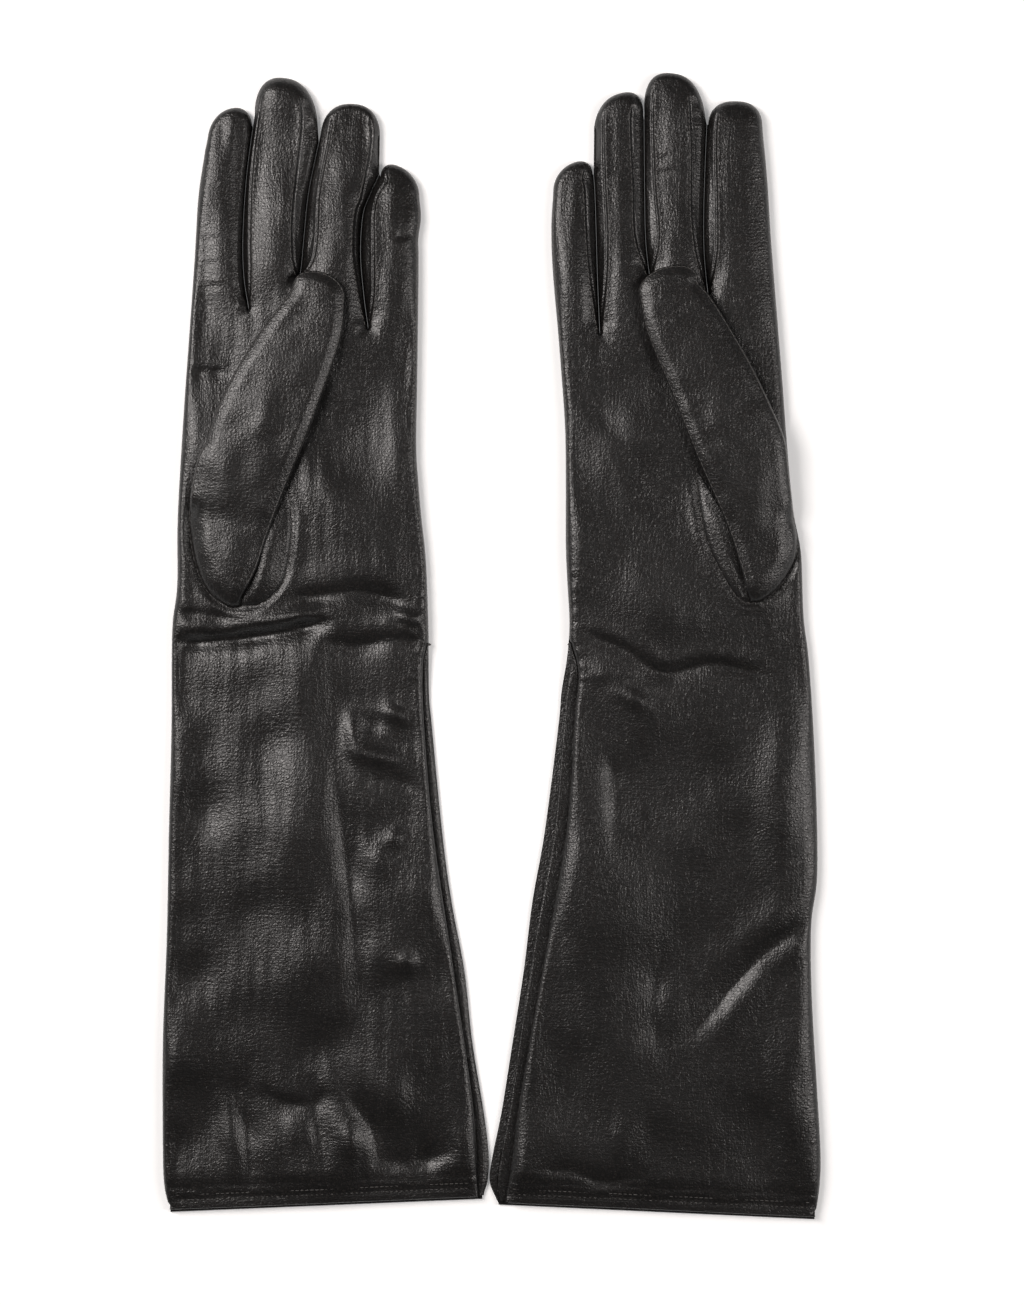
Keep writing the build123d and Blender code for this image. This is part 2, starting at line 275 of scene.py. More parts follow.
@dataclass(frozen=True)
class Seam:
    """A line where two pieces of leather are sewn, edge to edge, with the raw edges inside."""

    GROOVE_WIDTH = 0.4
    RIM = 0.85  # distance of each rim from the groove
    RIM_WIDTH = 0.5
    DROP_REACH = 7.0  # how far from the seam the lower piece stays low

    path: Array
    groove: float = 0.85
    ridge: float = 0.4
    drop: float = 0.0

    def height(self, points: Array) -> Array:
        """How much the seam moves the leather up at points; it drops on the path's right."""
        low, high = self.path.min(axis=0) - 6.0, self.path.max(axis=0) + 6.0
        near = np.all((points > low) & (points < high), axis=1)
        out = np.zeros(len(points))
        dist, side, along = to_path(points[near], self.path)
        x = dist * side
        ends = smoothstep(0, 0.06, along) * smoothstep(0, 0.06, 1 - along)
        line = -self.groove * bell(x / self.GROOVE_WIDTH)
        line += self.ridge * bell((x - self.RIM) / self.RIM_WIDTH)
        line += 0.5 * self.ridge * bell((x + self.RIM) / self.RIM_WIDTH)
        step = -self.drop * smoothstep(0.0, 1.4, -x) * bell(np.minimum(x, 0) / self.DROP_REACH)
        out[near] = (line + step) * ends
        return out


# ---- Sizes of the two gloves --------------------------------------------------------------
@dataclass(frozen=True)
class Digit:
    """Sizes of one finger: the corners and top of its tip, and its seams' insets from its sides."""

    start: Point
    top: Point
    end: Point
    fullness: float
    inner_seam: Point = (0.0, 0.0)
    outer_seam: Point = (0.0, 0.0)


@dataclass(frozen=True)
class ThumbShape:
    """Sizes of the thumb as it lies: its two sides from low to high, its tip, and its oval seam."""

    web_side: list[Point]
    outer_side: list[Point]
    tip: Point
    oval_low: list[Point]
    oval_side: list[Point]
    swells: list[Swell]
    high: float = 6.6


@dataclass(frozen=True)
class GloveShape:
    """Every size of one glove, in its own flat frame."""

    side: Side
    thumb_side: list[Point]
    little_side: list[Point]
    digits: dict[str, Digit]
    slots: list[list[Point]]
    knuckles: tuple[Point, Point]
    hem: tuple[Point, Point]
    palm_edge: list[Point]
    pleat: float
    thumb: ThumbShape
    creases: list[Crease] = field(default_factory=list)
    swells: list[Swell] = field(default_factory=list)
    waves: list[Waves] = field(default_factory=list)


SLOT_GAP = 0.14  # clear width of the slots between fingers
FINGERS = ("index", "middle", "ring", "little")


def left_shape() -> GloveShape:
    """Sizes of the left glove."""
    return GloveShape(
        side=Side.LEFT,
        thumb_side=[
            (-50.6, -217.0), (-52.3, -209.0), (-52.8, -195.0), (-52.8, -155.0), (-51.3, -115.0),
            (-50.5, -75.0), (-49.5, -35.0), (-49.4, -8.0), (-49.0, 6.0), (-47.3, 20.0),
            (-47.1, 46.0), (-44.8, 86.0), (-42.5, 118.0), (-40.6, 145.0), (-39.2, 168.0),
            (-36.6, 186.0),
        ],
        little_side=[
            (45.2, 167.5), (45.8, 160.0), (44.8, 152.0), (44.9, 145.0), (44.8, 131.0), (44.4, 100.0),
            (44.0, 73.0), (44.8, 59.0), (45.9, 46.0), (47.6, 30.0), (48.4, 12.0), (48.7, 0.0),
            (48.8, -21.0), (49.9, -34.0), (53.9, -75.0), (57.4, -101.0), (62.4, -128.0),
            (65.4, -155.0), (69.8, -182.0), (71.6, -197.0), (71.4, -207.0), (69.8, -213.0),
        ],
        digits={
            "index": Digit((-35.8, 188.5), (-27.0, 201.7), (-18.6, 193.0), 2.2),
            "middle": Digit((-17.6, 197.6), (-6.4, 213.4), (6.3, 195.0), 2.35, (4.2, 1.4), (2.6, 5.6)),
            "ring": Digit((7.4, 190.6), (19.4, 203.5), (30.0, 190.0), 2.35, (6.6, 3.4), (1.6, 2.8)),
            "little": Digit((30.3, 174.5), (37.6, 179.6), (45.2, 168.0), 2.2, inner_seam=(6.8, 2.4)),
        },
        slots=[
            [(-19.9, 124.7), (-21.9, 138.0), (-22.2, 154.0), (-20.8, 176.0), (-18.1, 196.6)],
            [(-0.6, 136.6), (0.2, 143.0), (1.2, 154.0), (2.9, 170.0), (6.8, 189.0)],
            [(25.7, 117.5), (24.0, 130.0), (22.7, 146.0), (23.6, 161.0), (26.4, 169.0), (29.9, 176.6)],
        ],
        knuckles=((-42.3, 128.0), (44.4, 121.0)),
        hem=((-50.0, -219.4), (69.2, -214.4)),
        palm_edge=[(48.6, -2.0), (46.6, -12.0), (46.9, -32.0), (50.6, -75.0), (58.4, -128.0),
                   (66.0, -182.0), (67.4, -214.0)],
        pleat=1.0,
        thumb=ThumbShape(
            web_side=[(-40.9, 58.7), (-38.6, 68.9), (-35.4, 74.6), (-31.8, 85.7), (-25.3, 99.5),
                      (-17.3, 112.6), (-10.9, 121.4), (-3.0, 132.0)],
            outer_side=[(-22.4, 15.1), (-16.8, 25.3), (-12.2, 39.2), (-5.7, 55.9), (6.3, 85.7),
                        (15.6, 113.0), (17.3, 128.0)],
            tip=(7.4, 138.6),
            oval_low=[(-42.4, 47.0), (-42.4, 40.0), (-40.0, 27.2), (-35.4, 17.0), (-27.5, 11.2),
                      (-22.4, 11.4)],
            oval_side=[(-22.4, 11.4), (-15.2, 12.3), (-7.7, 18.8), (-4.8, 27.2), (-3.1, 42.1),
                       (-4.8, 57.8)],
            swells=[
                Swell((-29.0, 62.0), (6.0, 15.0), 0.8, 4.0),
                Swell((-26.0, 30.0), (6.5, 8.0), 0.6),
                Swell((-27.0, 44.0), (10.0, 5.0), -0.4, 10.0),
                Swell((-13.0, 84.0), (4.0, 12.0), 0.5, -15.0),
                Swell((2.0, 122.0), (7.0, 9.0), -0.3),
            ],
        ),
        creases=[
            Crease([(-53.0, -2.6), (-36.0, -1.8), (-23.0, -0.6), (-8.0, 1.6), (3.0, 4.2), (14.0, 6.4)],
                   2.4, 3.1, 0.9, 0.22),
            Crease([(4.0, -1.0), (20.0, -3.4), (36.0, -1.0), (54.0, -4.0)], 1.3, 3.6, 0.3, 0.3),
            Crease([(-14.0, 12.0), (8.0, 15.5), (24.0, 16.8), (38.0, 13.0), (52.0, 6.5)],
                   1.9, 4.6, 0.2, 0.3),
            Crease([(33.0, 8.0), (43.0, 4.0), (52.0, 3.0)], 0.7, 1.5, 0.2, 0.3),
            Crease([(-52.0, 9.5), (-38.0, 8.2), (-18.0, 6.0)], 0.7, 2.2, 0.2, 0.3),
            Crease([(-47.0, 100.0), (-36.0, 101.0), (-25.0, 100.0)], 0.5, 1.9, 0.3, 0.3),
            Crease([(-43.0, 132.0), (-31.0, 134.0), (-19.0, 132.5)], 0.22, 0.9, 0.1),
            Crease([(-42.0, 141.5), (-31.0, 142.5), (-19.0, 140.5)], 0.28, 0.9, 0.1),
            Crease([(-42.0, 151.0), (-31.0, 152.0), (-19.0, 151.0)], 0.22, 0.9, 0.1),
            Crease([(48.0, 152.4), (42.0, 152.8), (34.0, 151.0)], 0.6, 1.2, 0.2, 0.3),
            Crease([(23.5, -160.0), (21.8, -140.0), (21.0, -122.0), (19.0, -99.0), (16.6, -76.0),
                    (13.6, -50.0), (11.5, -24.0)], 1.1, 4.6, 0.5, 0.35, 1.4),
            Crease([(22.0, -58.0), (34.0, -55.0), (50.0, -60.0)], 0.9, 4.4, 0.2, 0.35),
            Crease([(-20.0, -171.0), (-6.0, -178.0), (6.0, -178.0), (13.0, -168.0)], 1.3, 4.4, 0.0, 0.35),
            Crease([(9.5, -214.0), (7.5, -195.0), (5.0, -176.0), (6.0, -160.0)], 1.2, 4.6, 0.5, 0.35),
            Crease([(29.0, -214.0), (30.0, -195.0), (18.6, -174.0), (9.0, -152.0)], 1.3, 4.6, 0.5, 0.35),
            Crease([(62.0, -194.0), (44.0, -201.0), (26.0, -200.0)], 1.4, 4.6, 0.0, 0.35),
            Crease([(-19.0, -213.0), (-20.5, -192.0), (-26.0, -165.0)], 1.1, 4.2, 0.5, 0.35),
        ],
        swells=[
            Swell((20.0, -37.0), (3.2, 9.0), 1.5, 8.0),
            Swell((29.0, -45.5), (9.0, 3.4), 1.5, -12.0),
            Swell((36.0, -29.5), (5.0, 3.0), 1.5, -25.0),
            Swell((27.5, -34.0), (4.0, 4.0), -1),
            Swell((35.5, -76.5), (3.6, 3.6), 1.2),
            Swell((29.0, -85.0), (6.0, 8.0), 1.4),
            Swell((40.5, -124.0), (4.6, 4.0), 1.7),
            Swell((31.0, -120.0), (9.0, 14.0), 1.2),
            Swell((34.0, -176.0), (7.0, 12.0), 1.5, 15.0),
            Swell((20.0, -192.0), (5.0, 8.0), 1.4),
            Swell((-26.0, -188.0), (4.0, 14.0), 1.2, 5.0),
            Swell((0.0, -70.0), (13.0, 60.0), 1.8),
            Swell((-36.0, -90.0), (9.0, 80.0), -1),
            Swell((9.0, 58.0), (9.0, 30.0), 1.4, 28.0),
            Swell((33.0, 34.0), (10.0, 12.0), 1),
            Swell((36.0, 75.0), (5.0, 24.0), 0.75),
            Swell((-2.0, 7.4), (14.0, 2.6), 1.2, 10.0),
            Swell((41.0, 7.0), (6.0, 3.0), 1, -10.0),
            Swell((-46.0, 36.0), (2.2, 26.0), 1.4, 2.0),
        ],
        waves=[
            Waves(3, 0.75, 18.0, 60.0),
            Waves(5, 1.1, 45.0, 110.0),
            Waves(4, 0.10, 4.0, 9.0, 4.0, 24),
        ],
    )


def right_shape() -> GloveShape:
    """Sizes of the right glove."""
    return GloveShape(
        side=Side.RIGHT,
        thumb_side=[
            (-50.4, -219.6), (-51.8, -210.0), (-52.2, -197.0), (-50.7, -170.0), (-49.2, -145.0),
            (-48.5, -124.0), (-48.8, -108.0), (-50.9, -92.0), (-50.7, -65.0), (-49.4, -34.0),
            (-47.6, -8.0), (-45.7, 8.0), (-44.7, 32.0), (-41.8, 48.0), (-39.5, 72.0),
            (-37.5, 99.0), (-35.4, 125.0), (-33.4, 150.0), (-31.8, 175.0), (-30.2, 192.0),
        ],
        little_side=[
            (49.9, 169.5), (50.6, 158.0), (50.4, 145.0), (49.4, 131.0), (48.2, 118.0), (46.7, 99.0),
            (45.4, 80.0), (45.1, 60.0), (45.1, 35.0), (44.4, 19.0), (43.7, 5.0), (44.6, -8.0),
            (46.7, -21.0), (47.9, -34.0), (53.2, -75.0), (57.8, -101.0), (61.2, -128.0),
            (65.4, -155.0), (69.7, -182.0), (73.0, -198.0), (74.2, -208.0), (71.4, -215.4),
        ],
        digits={
            "index": Digit((-30.0, 194.0), (-19.6, 204.5), (-9.3, 194.0), 2.5, outer_seam=(6.6, 2.6)),
            "middle": Digit((-8.4, 196.0), (4.8, 215.2), (14.9, 198.0), 2.5, (3.2, 5.6), (5.6, 2.6)),
            "ring": Digit((15.6, 197.4), (24.0, 207.6), (34.4, 193.0), 2.4, (3.2, 4.4), (4.3, 3.4)),
            "little": Digit((34.8, 175.5), (42.2, 181.0), (49.9, 170.0), 2.2, inner_seam=(3.2, 3.6)),
        },
        slots=[
            [(-9.2, 130.8), (-7.8, 146.0), (-7.6, 162.0), (-8.2, 182.0), (-8.8, 195.5)],
            [(13.0, 136.6), (14.6, 152.0), (15.0, 172.0), (15.2, 197.4)],
            [(32.1, 115.5), (33.0, 137.5), (33.5, 155.0), (34.0, 170.0), (34.5, 176.4)],
        ],
        knuckles=((-35.2, 128.0), (48.4, 121.0)),
        hem=((-50.0, -222.2), (70.8, -216.6)),
        palm_edge=[(43.4, -2.0), (40.4, -14.0), (41.8, -32.0), (44.2, -68.0), (48.6, -97.0),
                   (54.2, -128.0), (63.6, -182.0), (68.0, -216.0)],
        pleat=2.7,
        thumb=ThumbShape(
            web_side=[(-39.8, 62.0), (-38.1, 74.6), (-33.0, 87.0), (-29.8, 94.0), (-23.3, 106.9),
                      (-11.2, 127.0), (-5.0, 134.6)],
            outer_side=[(-23.6, 17.3), (-21.5, 25.6), (-15.7, 43.0), (-4.9, 67.1), (4.9, 91.8),
                        (14.5, 115.0), (17.6, 131.0)],
            tip=(5.6, 140.8),
            oval_low=[(-41.9, 44.8), (-43.0, 38.0), (-42.0, 28.0), (-36.4, 19.0), (-29.8, 13.6),
                      (-24.6, 12.8)],
            oval_side=[(-24.6, 12.8), (-21.0, 14.2), (-15.7, 21.4), (-9.1, 34.8), (-5.7, 49.7),
                       (-4.5, 63.8)],
            swells=[
                Swell((-28.0, 55.0), (6.0, 16.0), 0.5, 10.0),
                Swell((-14.0, 90.0), (6.0, 18.0), 0.3, 15.0),
            ],
        ),
        creases=[
            Crease([(-38.0, -17.0), (-12.0, -10.5), (8.0, -13.6), (23.5, -4.6), (46.0, 4.5)], 1.2, 2.6,
                   0.5, 0.3),
            Crease([(32.0, -15.0), (20.0, -19.0), (8.0, -28.0)], 0.8, 2.4, 0.3, 0.35),
            Crease([(8.0, -161.0), (-8.0, -146.0), (-20.0, -132.0), (-34.0, -117.5), (-58.0, -104.0)],
                   1.3, 3.6, 0.6, 0.35),
            Crease([(42.0, 100.0), (22.0, 72.0), (4.0, 50.0), (-6.0, 38.0)], 0.9, 6.0, 0.5, 0.3),
            Crease([(3.0, 184.5), (10.0, 182.0), (16.0, 183.5)], 0.3, 1.1, 0.1, 0.3),
            Crease([(2.0, 178.5), (9.0, 176.5), (16.0, 178.5)], 0.3, 1.1, 0.1, 0.3),
            Crease([(62.0, -204.0), (44.0, -204.0), (30.0, -208.0), (10.0, -205.0)], 0.9, 2.4, 0.0, 0.35),
            Crease([(8.0, -166.0), (11.0, -140.0), (8.0, -112.0)], 0.8, 4.5, 0.2, 0.35),
            Crease([(30.0, -40.0), (26.0, -60.0), (27.0, -86.0)], 0.8, 4.0, 0.2, 0.35),
        ],
        swells=[
            Swell((-37.0, -66.0), (9.0, 34.0), 1.7),
            Swell((-30.0, -112.0), (16.0, 7.0), 1.2, -40.0),
            Swell((-40.0, -180.0), (7.0, 30.0), 1),
            Swell((16.0, 66.0), (12.0, 34.0), 1.2, -38.0),
            Swell((18.0, -22.0), (8.0, 5.0), 1.2, 20.0),
            Swell((30.0, -14.0), (7.0, 4.0), 0.9, 10.0),
            Swell((22.0, -190.0), (6.0, 10.0), 0.9),
            Swell((6.0, -100.0), (14.0, 50.0), -0.75),
        ],
        waves=[
            Waves(13, 0.6, 20.0, 60.0),
            Waves(15, 1.0, 45.0, 110.0),
            Waves(14, 0.05, 4.0, 9.0, 4.0, 24),
        ],
    )


# ---- The leather's shape ------------------------------------------------------------------
class Skin:
    """Outlines, seams and heights of one glove's leather."""

    EDGE = 2.6  # height at which the two sheets meet
    EDGE_ROUND = 2.5  # width of the rounding from there up to the palm
    FLOOR_ROUND = 2.2  # and down to the table
    PLATEAU = 5.4  # height of the palm's sheet at the hem
    CROWN_REACH = 11.0  # distance from the edge over which the leather still rises
    LOWEST, HIGHEST = 1.6, 9.0  # limits of the palm's height
    GUSSET_START = 2.0  # distance below the wrist at which the sheets part for the gusset
    GUSSET_REACH = 16.0
    HEM_STEP = 1.3  # how far the palm's edge ends short of the back's
    HEM_BAND = 6.4  # width of the doubled leather
    HEM_ROWS = (2.9, 4.9)  # how far the rows of stitches lie above the palm's edge

    def __init__(self, shape: GloveShape) -> None:
        """Work out the outlines and seams of shape."""
        self.shape = shape
        self.back_loop, self.back_open = self._loop(smooth_path(shape.little_side), 0.0)
        little = smooth_path(shape.little_side)
        palm_edge = smooth_path(shape.palm_edge)
        above = little[little[:, 1] > shape.palm_edge[0][1]]
        self.palm_loop, self.palm_open = self._loop(np.vstack([above, palm_edge]), self.HEM_STEP)
        self.seams = {name: self._finger_seams(name) for name in FINGERS}

    def _loop(self, little_side: Array, short: float) -> tuple[Array, Array]:
        """Outline of one sheet.

        Args:
            little_side: The sheet's little finger side, from its fingertip to the hem.
            short: How far the sheet ends above the hem line.

        Returns:
            The closed outline, and the same without the hem.
        """
        shape = self.shape
        thumb_side = smooth_path(shape.thumb_side)
        parts = [thumb_side[thumb_side[:, 1] > thumb_side[0, 1] + short]]
        gap = np.array([SLOT_GAP / 2, 0.0])
        for number, name in enumerate(FINGERS):
            digit = shape.digits[name]
            parts.append(tip_path(digit.start, digit.top, digit.end, digit.fullness))
            if number < len(shape.slots):
                slot = smooth_path(shape.slots[number])
                parts.append(slot[::-1] - gap)
                parts.append(slot[1:] + gap)
        parts.append(little_side)
        open_edge = np.vstack(parts)
        hem = smooth_path([shape.hem[1], shape.hem[0]]) + np.array([0.0, short])
        hem = hem[(hem[:, 0] < little_side[-1, 0] - 0.6) & (hem[:, 0] > shape.thumb_side[0][0] + 0.6)]
        return np.vstack([open_edge, hem]), open_edge

    def _finger_seams(self, name: str) -> dict[str, Array]:
        """Paths of a finger's fork seams, from the knuckles to the tip, by side."""
        digit = self.shape.digits[name]
        number = FINGERS.index(name)
        seams = {}
        for label, inset, slot_number, sign, corner in (
            ("inner", digit.inner_seam, number - 1, 1.0, digit.start),
            ("outer", digit.outer_seam, number, -1.0, digit.end),
        ):
            if inset[0] <= 0.0:
                continue
            slot = self.shape.slots[slot_number]
            last = (corner[0], corner[1] - 1.0)
            points = [slot[0], *slot[1:-1], last]
            moved = []
            for i, (u, v) in enumerate(points):
                run = i / (len(points) - 1)
                reach = min(1.0, 3.0 * run) * (inset[0] + run * (inset[1] - inset[0]))
                moved.append((u + sign * (reach + SLOT_GAP / 2), v))
            top = np.array(digit.top)
            near_top = np.array(moved[-1]) * 0.45 + top * 0.55 + np.array([-sign * 3.4, 1.0])
            moved.append((float(near_top[0]), float(near_top[1])))
            seams[label] = smooth_path(moved, 1.1)
        return seams

    def plateau(self, points: Array) -> Array:
        """Height of the leather away from its edges."""
        v = points[:, 1]
        return self.PLATEAU + 0.8 * smoothstep(-30.0, 40.0, v) + 0.3 * smoothstep(100.0, 150.0, v)

    def bed(self, points: Array) -> Array:
        """Height of the palm without its creases and fingers, which the thumb lies on."""
        dist = to_path(points, smooth_path(self.shape.thumb_side))[0]
        return self.EDGE + (self.plateau(points) + 0.35 - self.EDGE) * rounded(dist / self.EDGE_ROUND)

    def oval(self, points: Array) -> Array:
        """How the seam round the thumb's root pulls the palm's skin down, with a rim outside it."""
        thumb = self.shape.thumb
        path = np.vstack([smooth_path(thumb.oval_low), smooth_path(thumb.oval_side)[1:]])
        dist, side, along = to_path(points, path, 9.0)
        ends = smoothstep(0.0, 0.12, along) * smoothstep(0.0, 0.10, 1 - along)
        outside = np.where(side < 0, 1.0, 0.0)
        return ends * (0.35 * outside * bell((dist - 2.4) / 1.5) - 0.9 * bell(dist / 0.7))

    def palm(self, points: Array) -> Array:
        """Height of the palm's sheet over points, in millimetres."""
        dist = to_path(points, self.palm_open)[0]
        edge = self.EDGE + 0.9 * self._parted(points)
        at_hem = smoothstep(14.0, 2.0, self.above_hem(points))
        fingers = smoothstep(118.0, 140.0, points[:, 1])
        roll = rounded(dist / (self.EDGE_ROUND + 0.2 * fingers))
        crown = 1.0 - (1.0 - np.clip(dist / self.CROWN_REACH, 0.0, 1.0)) ** 2
        top = self.plateau(points) - 1.3 * at_hem + 0.7 * fingers
        inside = smoothstep(0.0, 5.0, dist)
        share = 0.12 + 0.26 * fingers
        z = edge + (top - edge) * roll * (1.0 - share + share * crown)
        for piece in (*self.shape.creases, *self.shape.swells, *self.shape.waves):
            z += piece.height(points) * inside * (1.0 - 0.5 * at_hem)
        for seams in self.seams.values():
            for label, path in seams.items():
                z += Seam(path[::-1] if label == "inner" else path, drop=0.9).height(points)
        z += self._puckers(points, dist) + self._band(points) + self.oval(points)
        return np.clip(z, self.LOWEST, self.HIGHEST)

    def _parted(self, points: Array) -> Array:
        """How far the two sheets stand apart beside points for the gusset, from 0 to 1."""
        below = smoothstep(self.GUSSET_START, self.GUSSET_REACH, -points[:, 1])
        return below * (points[:, 0] > 20.0)

    def _puckers(self, points: Array, dist: Array) -> Array:
        """Small gathers along the side seam, from the little fingertip to below the wrist."""
        u, v = points[:, 0], points[:, 1]
        along = smoothstep(-26.0, -12.0, v) * smoothstep(172.0, 160.0, v) * (u > 25.0)
        along = along * (0.35 + 0.65 * smoothstep(36.0, 22.0, v))
        wave = np.sin(2 * math.pi * v / 4.3 + 2.2 * np.sin(v / 5.0) + 1.5 * np.sin(v / 2.3))
        return 0.20 * wave * along * bell((dist - 1.6) / 2.0)

    def _band(self, points: Array) -> Array:
        """The doubled leather of the hem, pulled in along its two rows of stitches."""
        up = self.above_hem(points) - self.HEM_STEP
        band = 0.45 * smoothstep(self.HEM_BAND + 0.7, self.HEM_BAND - 0.5, up)
        for row in self.HEM_ROWS:
            band -= 0.42 * bell((up - row) / 0.5)
        return band

    def back(self, points: Array) -> Array:
        """Height of the under side of the back's sheet over points."""
        dist = to_path(points, self.back_open)[0]
        edge = self.EDGE - 1.5 * self._parted(points)
        return edge * (1.0 - rounded(dist / self.FLOOR_ROUND))

    def past_knuckles(self, points: Array) -> Array:
        """Which points lie beyond the line across the knuckles."""
        (u0, v0), (u1, v1) = self.shape.knuckles
        return points[:, 1] > v0 + (points[:, 0] - u0) * (v1 - v0) / (u1 - u0)

    def above_hem(self, points: Array) -> Array:
        """Distance of points above the hem line."""
        (u0, v0), (u1, v1) = self.shape.hem
        return points[:, 1] - (v0 + (points[:, 0] - u0) * (v1 - v0) / (u1 - u0))


class Sheet:
    """A flat region filled with triangles, finer along its edges and seams."""

    RINGS = (0.16, 0.5, 1.1, 2.0, 3.2)  # rows of points inside the outline
    ROWS = (-1.3, -0.8, -0.35, 0.35, 0.8, 1.3)  # and beside each seam
    NEAREST = 0.12  # least distance between points of the outline

    def __init__(self, loop: Array, lines: list[Array], grid: float = 1.35) -> None:
        """Fill the region inside loop.

        Args:
            loop: The region's closed outline.
            lines: Paths that edges of the triangles follow.
            grid: The distance between points away from the edges.
        """
        self.loop = self._tidy(loop)
        rings = self._rings()
        rows = [self._beside(line, off) for line in lines for off in self.ROWS]
        fine = np.vstack([*lines, *rows]) if lines else np.zeros((0, 2))
        inner = self._grid(grid, fine)
        kept = [self.loop]
        if len(rings):
            kept.append(self._away(rings, fine, 0.45))
        edges = []
        count = sum(len(k) for k in kept)
        for line in lines:
            edges += [(count + i, count + i + 1) for i in range(len(line) - 1)]
            kept.append(line)
            count += len(line)
        if rows:
            side = np.vstack(rows)
            kept.append(side[self._inside(side) & (self._depth(side) > 0.3)])
        kept.append(inner)
        points = np.vstack(kept)
        outline = list(range(len(self.loop)))
        found = delaunay_2d_cdt([Vector(p) for p in points], edges, [outline], 1, 1e-5)
        self.points = np.array([(p.x, p.y) for p in found[0]])
        self.faces = np.array([f for f in found[2] if len(f) == 3])

    def _tidy(self, loop: Array) -> Array:
        """The loop without points that fall almost on each other."""
        keep = [loop[0]]
        for p in loop[1:]:
            if np.hypot(*(p - keep[-1])) > self.NEAREST:
                keep.append(p)
        if np.hypot(*(keep[0] - keep[-1])) < self.NEAREST:
            keep.pop()
        return np.array(keep)

    def _depth(self, points: Array) -> Array:
        """Distance of points from the outline."""
        return to_path(points, np.vstack([self.loop, self.loop[:1]]))[0]

    def _inside(self, points: Array) -> Array:
        """Which points lie inside the outline."""
        x, y = points[:, 0], points[:, 1]
        inside = np.zeros(len(points), bool)
        for a, b in zip(self.loop, np.roll(self.loop, -1, axis=0)):
            if a[1] == b[1]:
                continue
            crosses = (a[1] > y) != (b[1] > y)
            at = a[0] + (y - a[1]) * (b[0] - a[0]) / (b[1] - a[1])
            inside ^= crosses & (x < at)
        return inside

    def _rings(self) -> Array:
        """Rows of points along the inside of the outline."""
        normal = self._left_of(np.roll(self.loop, -1, axis=0) - np.roll(self.loop, 1, axis=0))
        rows = []
        for off in self.RINGS:
            for sign in (1.0, -1.0):
                ring = self.loop + sign * off * normal
                good = self._inside(ring) & (self._depth(ring) > 0.93 * off)
                rows.append(ring[good])
        return np.vstack(rows)

    @staticmethod
    def _left_of(along: Array) -> Array:
        """Unit directions to the left of directions."""
        normal = np.stack([-along[:, 1], along[:, 0]], 1)
        return normal / np.maximum(np.linalg.norm(normal, axis=1), 1e-9)[:, None]

    def _beside(self, line: Array, off: float) -> Array:
        """Points beside a line, off to its left."""
        return line + off * self._left_of(np.gradient(line, axis=0))

    @staticmethod
    def _away(points: Array, others: Array, least: float) -> Array:
        """The points at least about that far from all the others."""
        if not len(others) or not len(points):
            return points
        corner = np.minimum(points.min(axis=0), others.min(axis=0)) - 3 * least
        step = least / 2
        size = ((np.maximum(points.max(axis=0), others.max(axis=0)) - corner) / step).astype(int) + 6
        taken = np.zeros(size, bool)
        cells = ((others - corner) / step).astype(int)
        for i in range(-2, 3):
            for j in range(-2, 3):
                taken[cells[:, 0] + i, cells[:, 1] + j] = True
        mine = ((points - corner) / step).astype(int)
        return points[~taken[mine[:, 0], mine[:, 1]]]

    def _grid(self, grid: float, fine: Array) -> Array:
        """Points of a triangular grid inside the outline, clear of its edges and the fine rows."""
        low, high = self.loop.min(axis=0), self.loop.max(axis=0)
        us = np.arange(low[0], high[0], grid)
        vs = np.arange(low[1], high[1], grid * math.sqrt(3) / 2)
        u, v = np.meshgrid(us, vs)
        u = u + (np.arange(len(vs))[:, None] % 2) * grid / 2
        points = np.stack([u.ravel(), v.ravel()], 1)
        draw = np.random.default_rng(7)
        points += draw.uniform(-0.12, 0.12, points.shape) * grid
        points = points[self._inside(points)]
        points = points[self._depth(points) > self.RINGS[-1] + 0.6 * grid]
        return self._away(points, fine, 0.7 * grid)


# ---- Meshes -------------------------------------------------------------------------------
@dataclass
class Body:
    """Vertices and faces in a glove's own frame, before they are placed in the row."""

    points: Array
    faces: Array

    def normals(self) -> Array:
        """Smooth normals of the vertices."""
        a, b, c = (self.points[self.faces[:, i]] for i in range(3))
        flat = np.cross(b - a, c - a)
        out = np.zeros_like(self.points)
        for i in range(3):
            np.add.at(out, self.faces[:, i], flat)
        return out / np.maximum(np.linalg.norm(out, axis=1), 1e-12)[:, None]

    def part(self, chosen: Array) -> tuple["Body", Array]:
        """The chosen faces as a body of their own, and the old numbers of its vertices."""
        faces = self.faces[chosen]
        used, new = np.unique(faces, return_inverse=True)
        return Body(self.points[used], new.reshape(faces.shape)), used


def quads(rows: int, columns: int) -> Array:
    """Triangles of a grid of vertices, numbered row by row."""
    i = np.arange(rows - 1)[:, None] * columns + np.arange(columns - 1)[None, :]
    i = i.ravel()
    first = np.stack([i, i + 1, i + columns + 1], 1)
    return np.vstack([first, np.stack([i, i + columns + 1, i + columns], 1)])


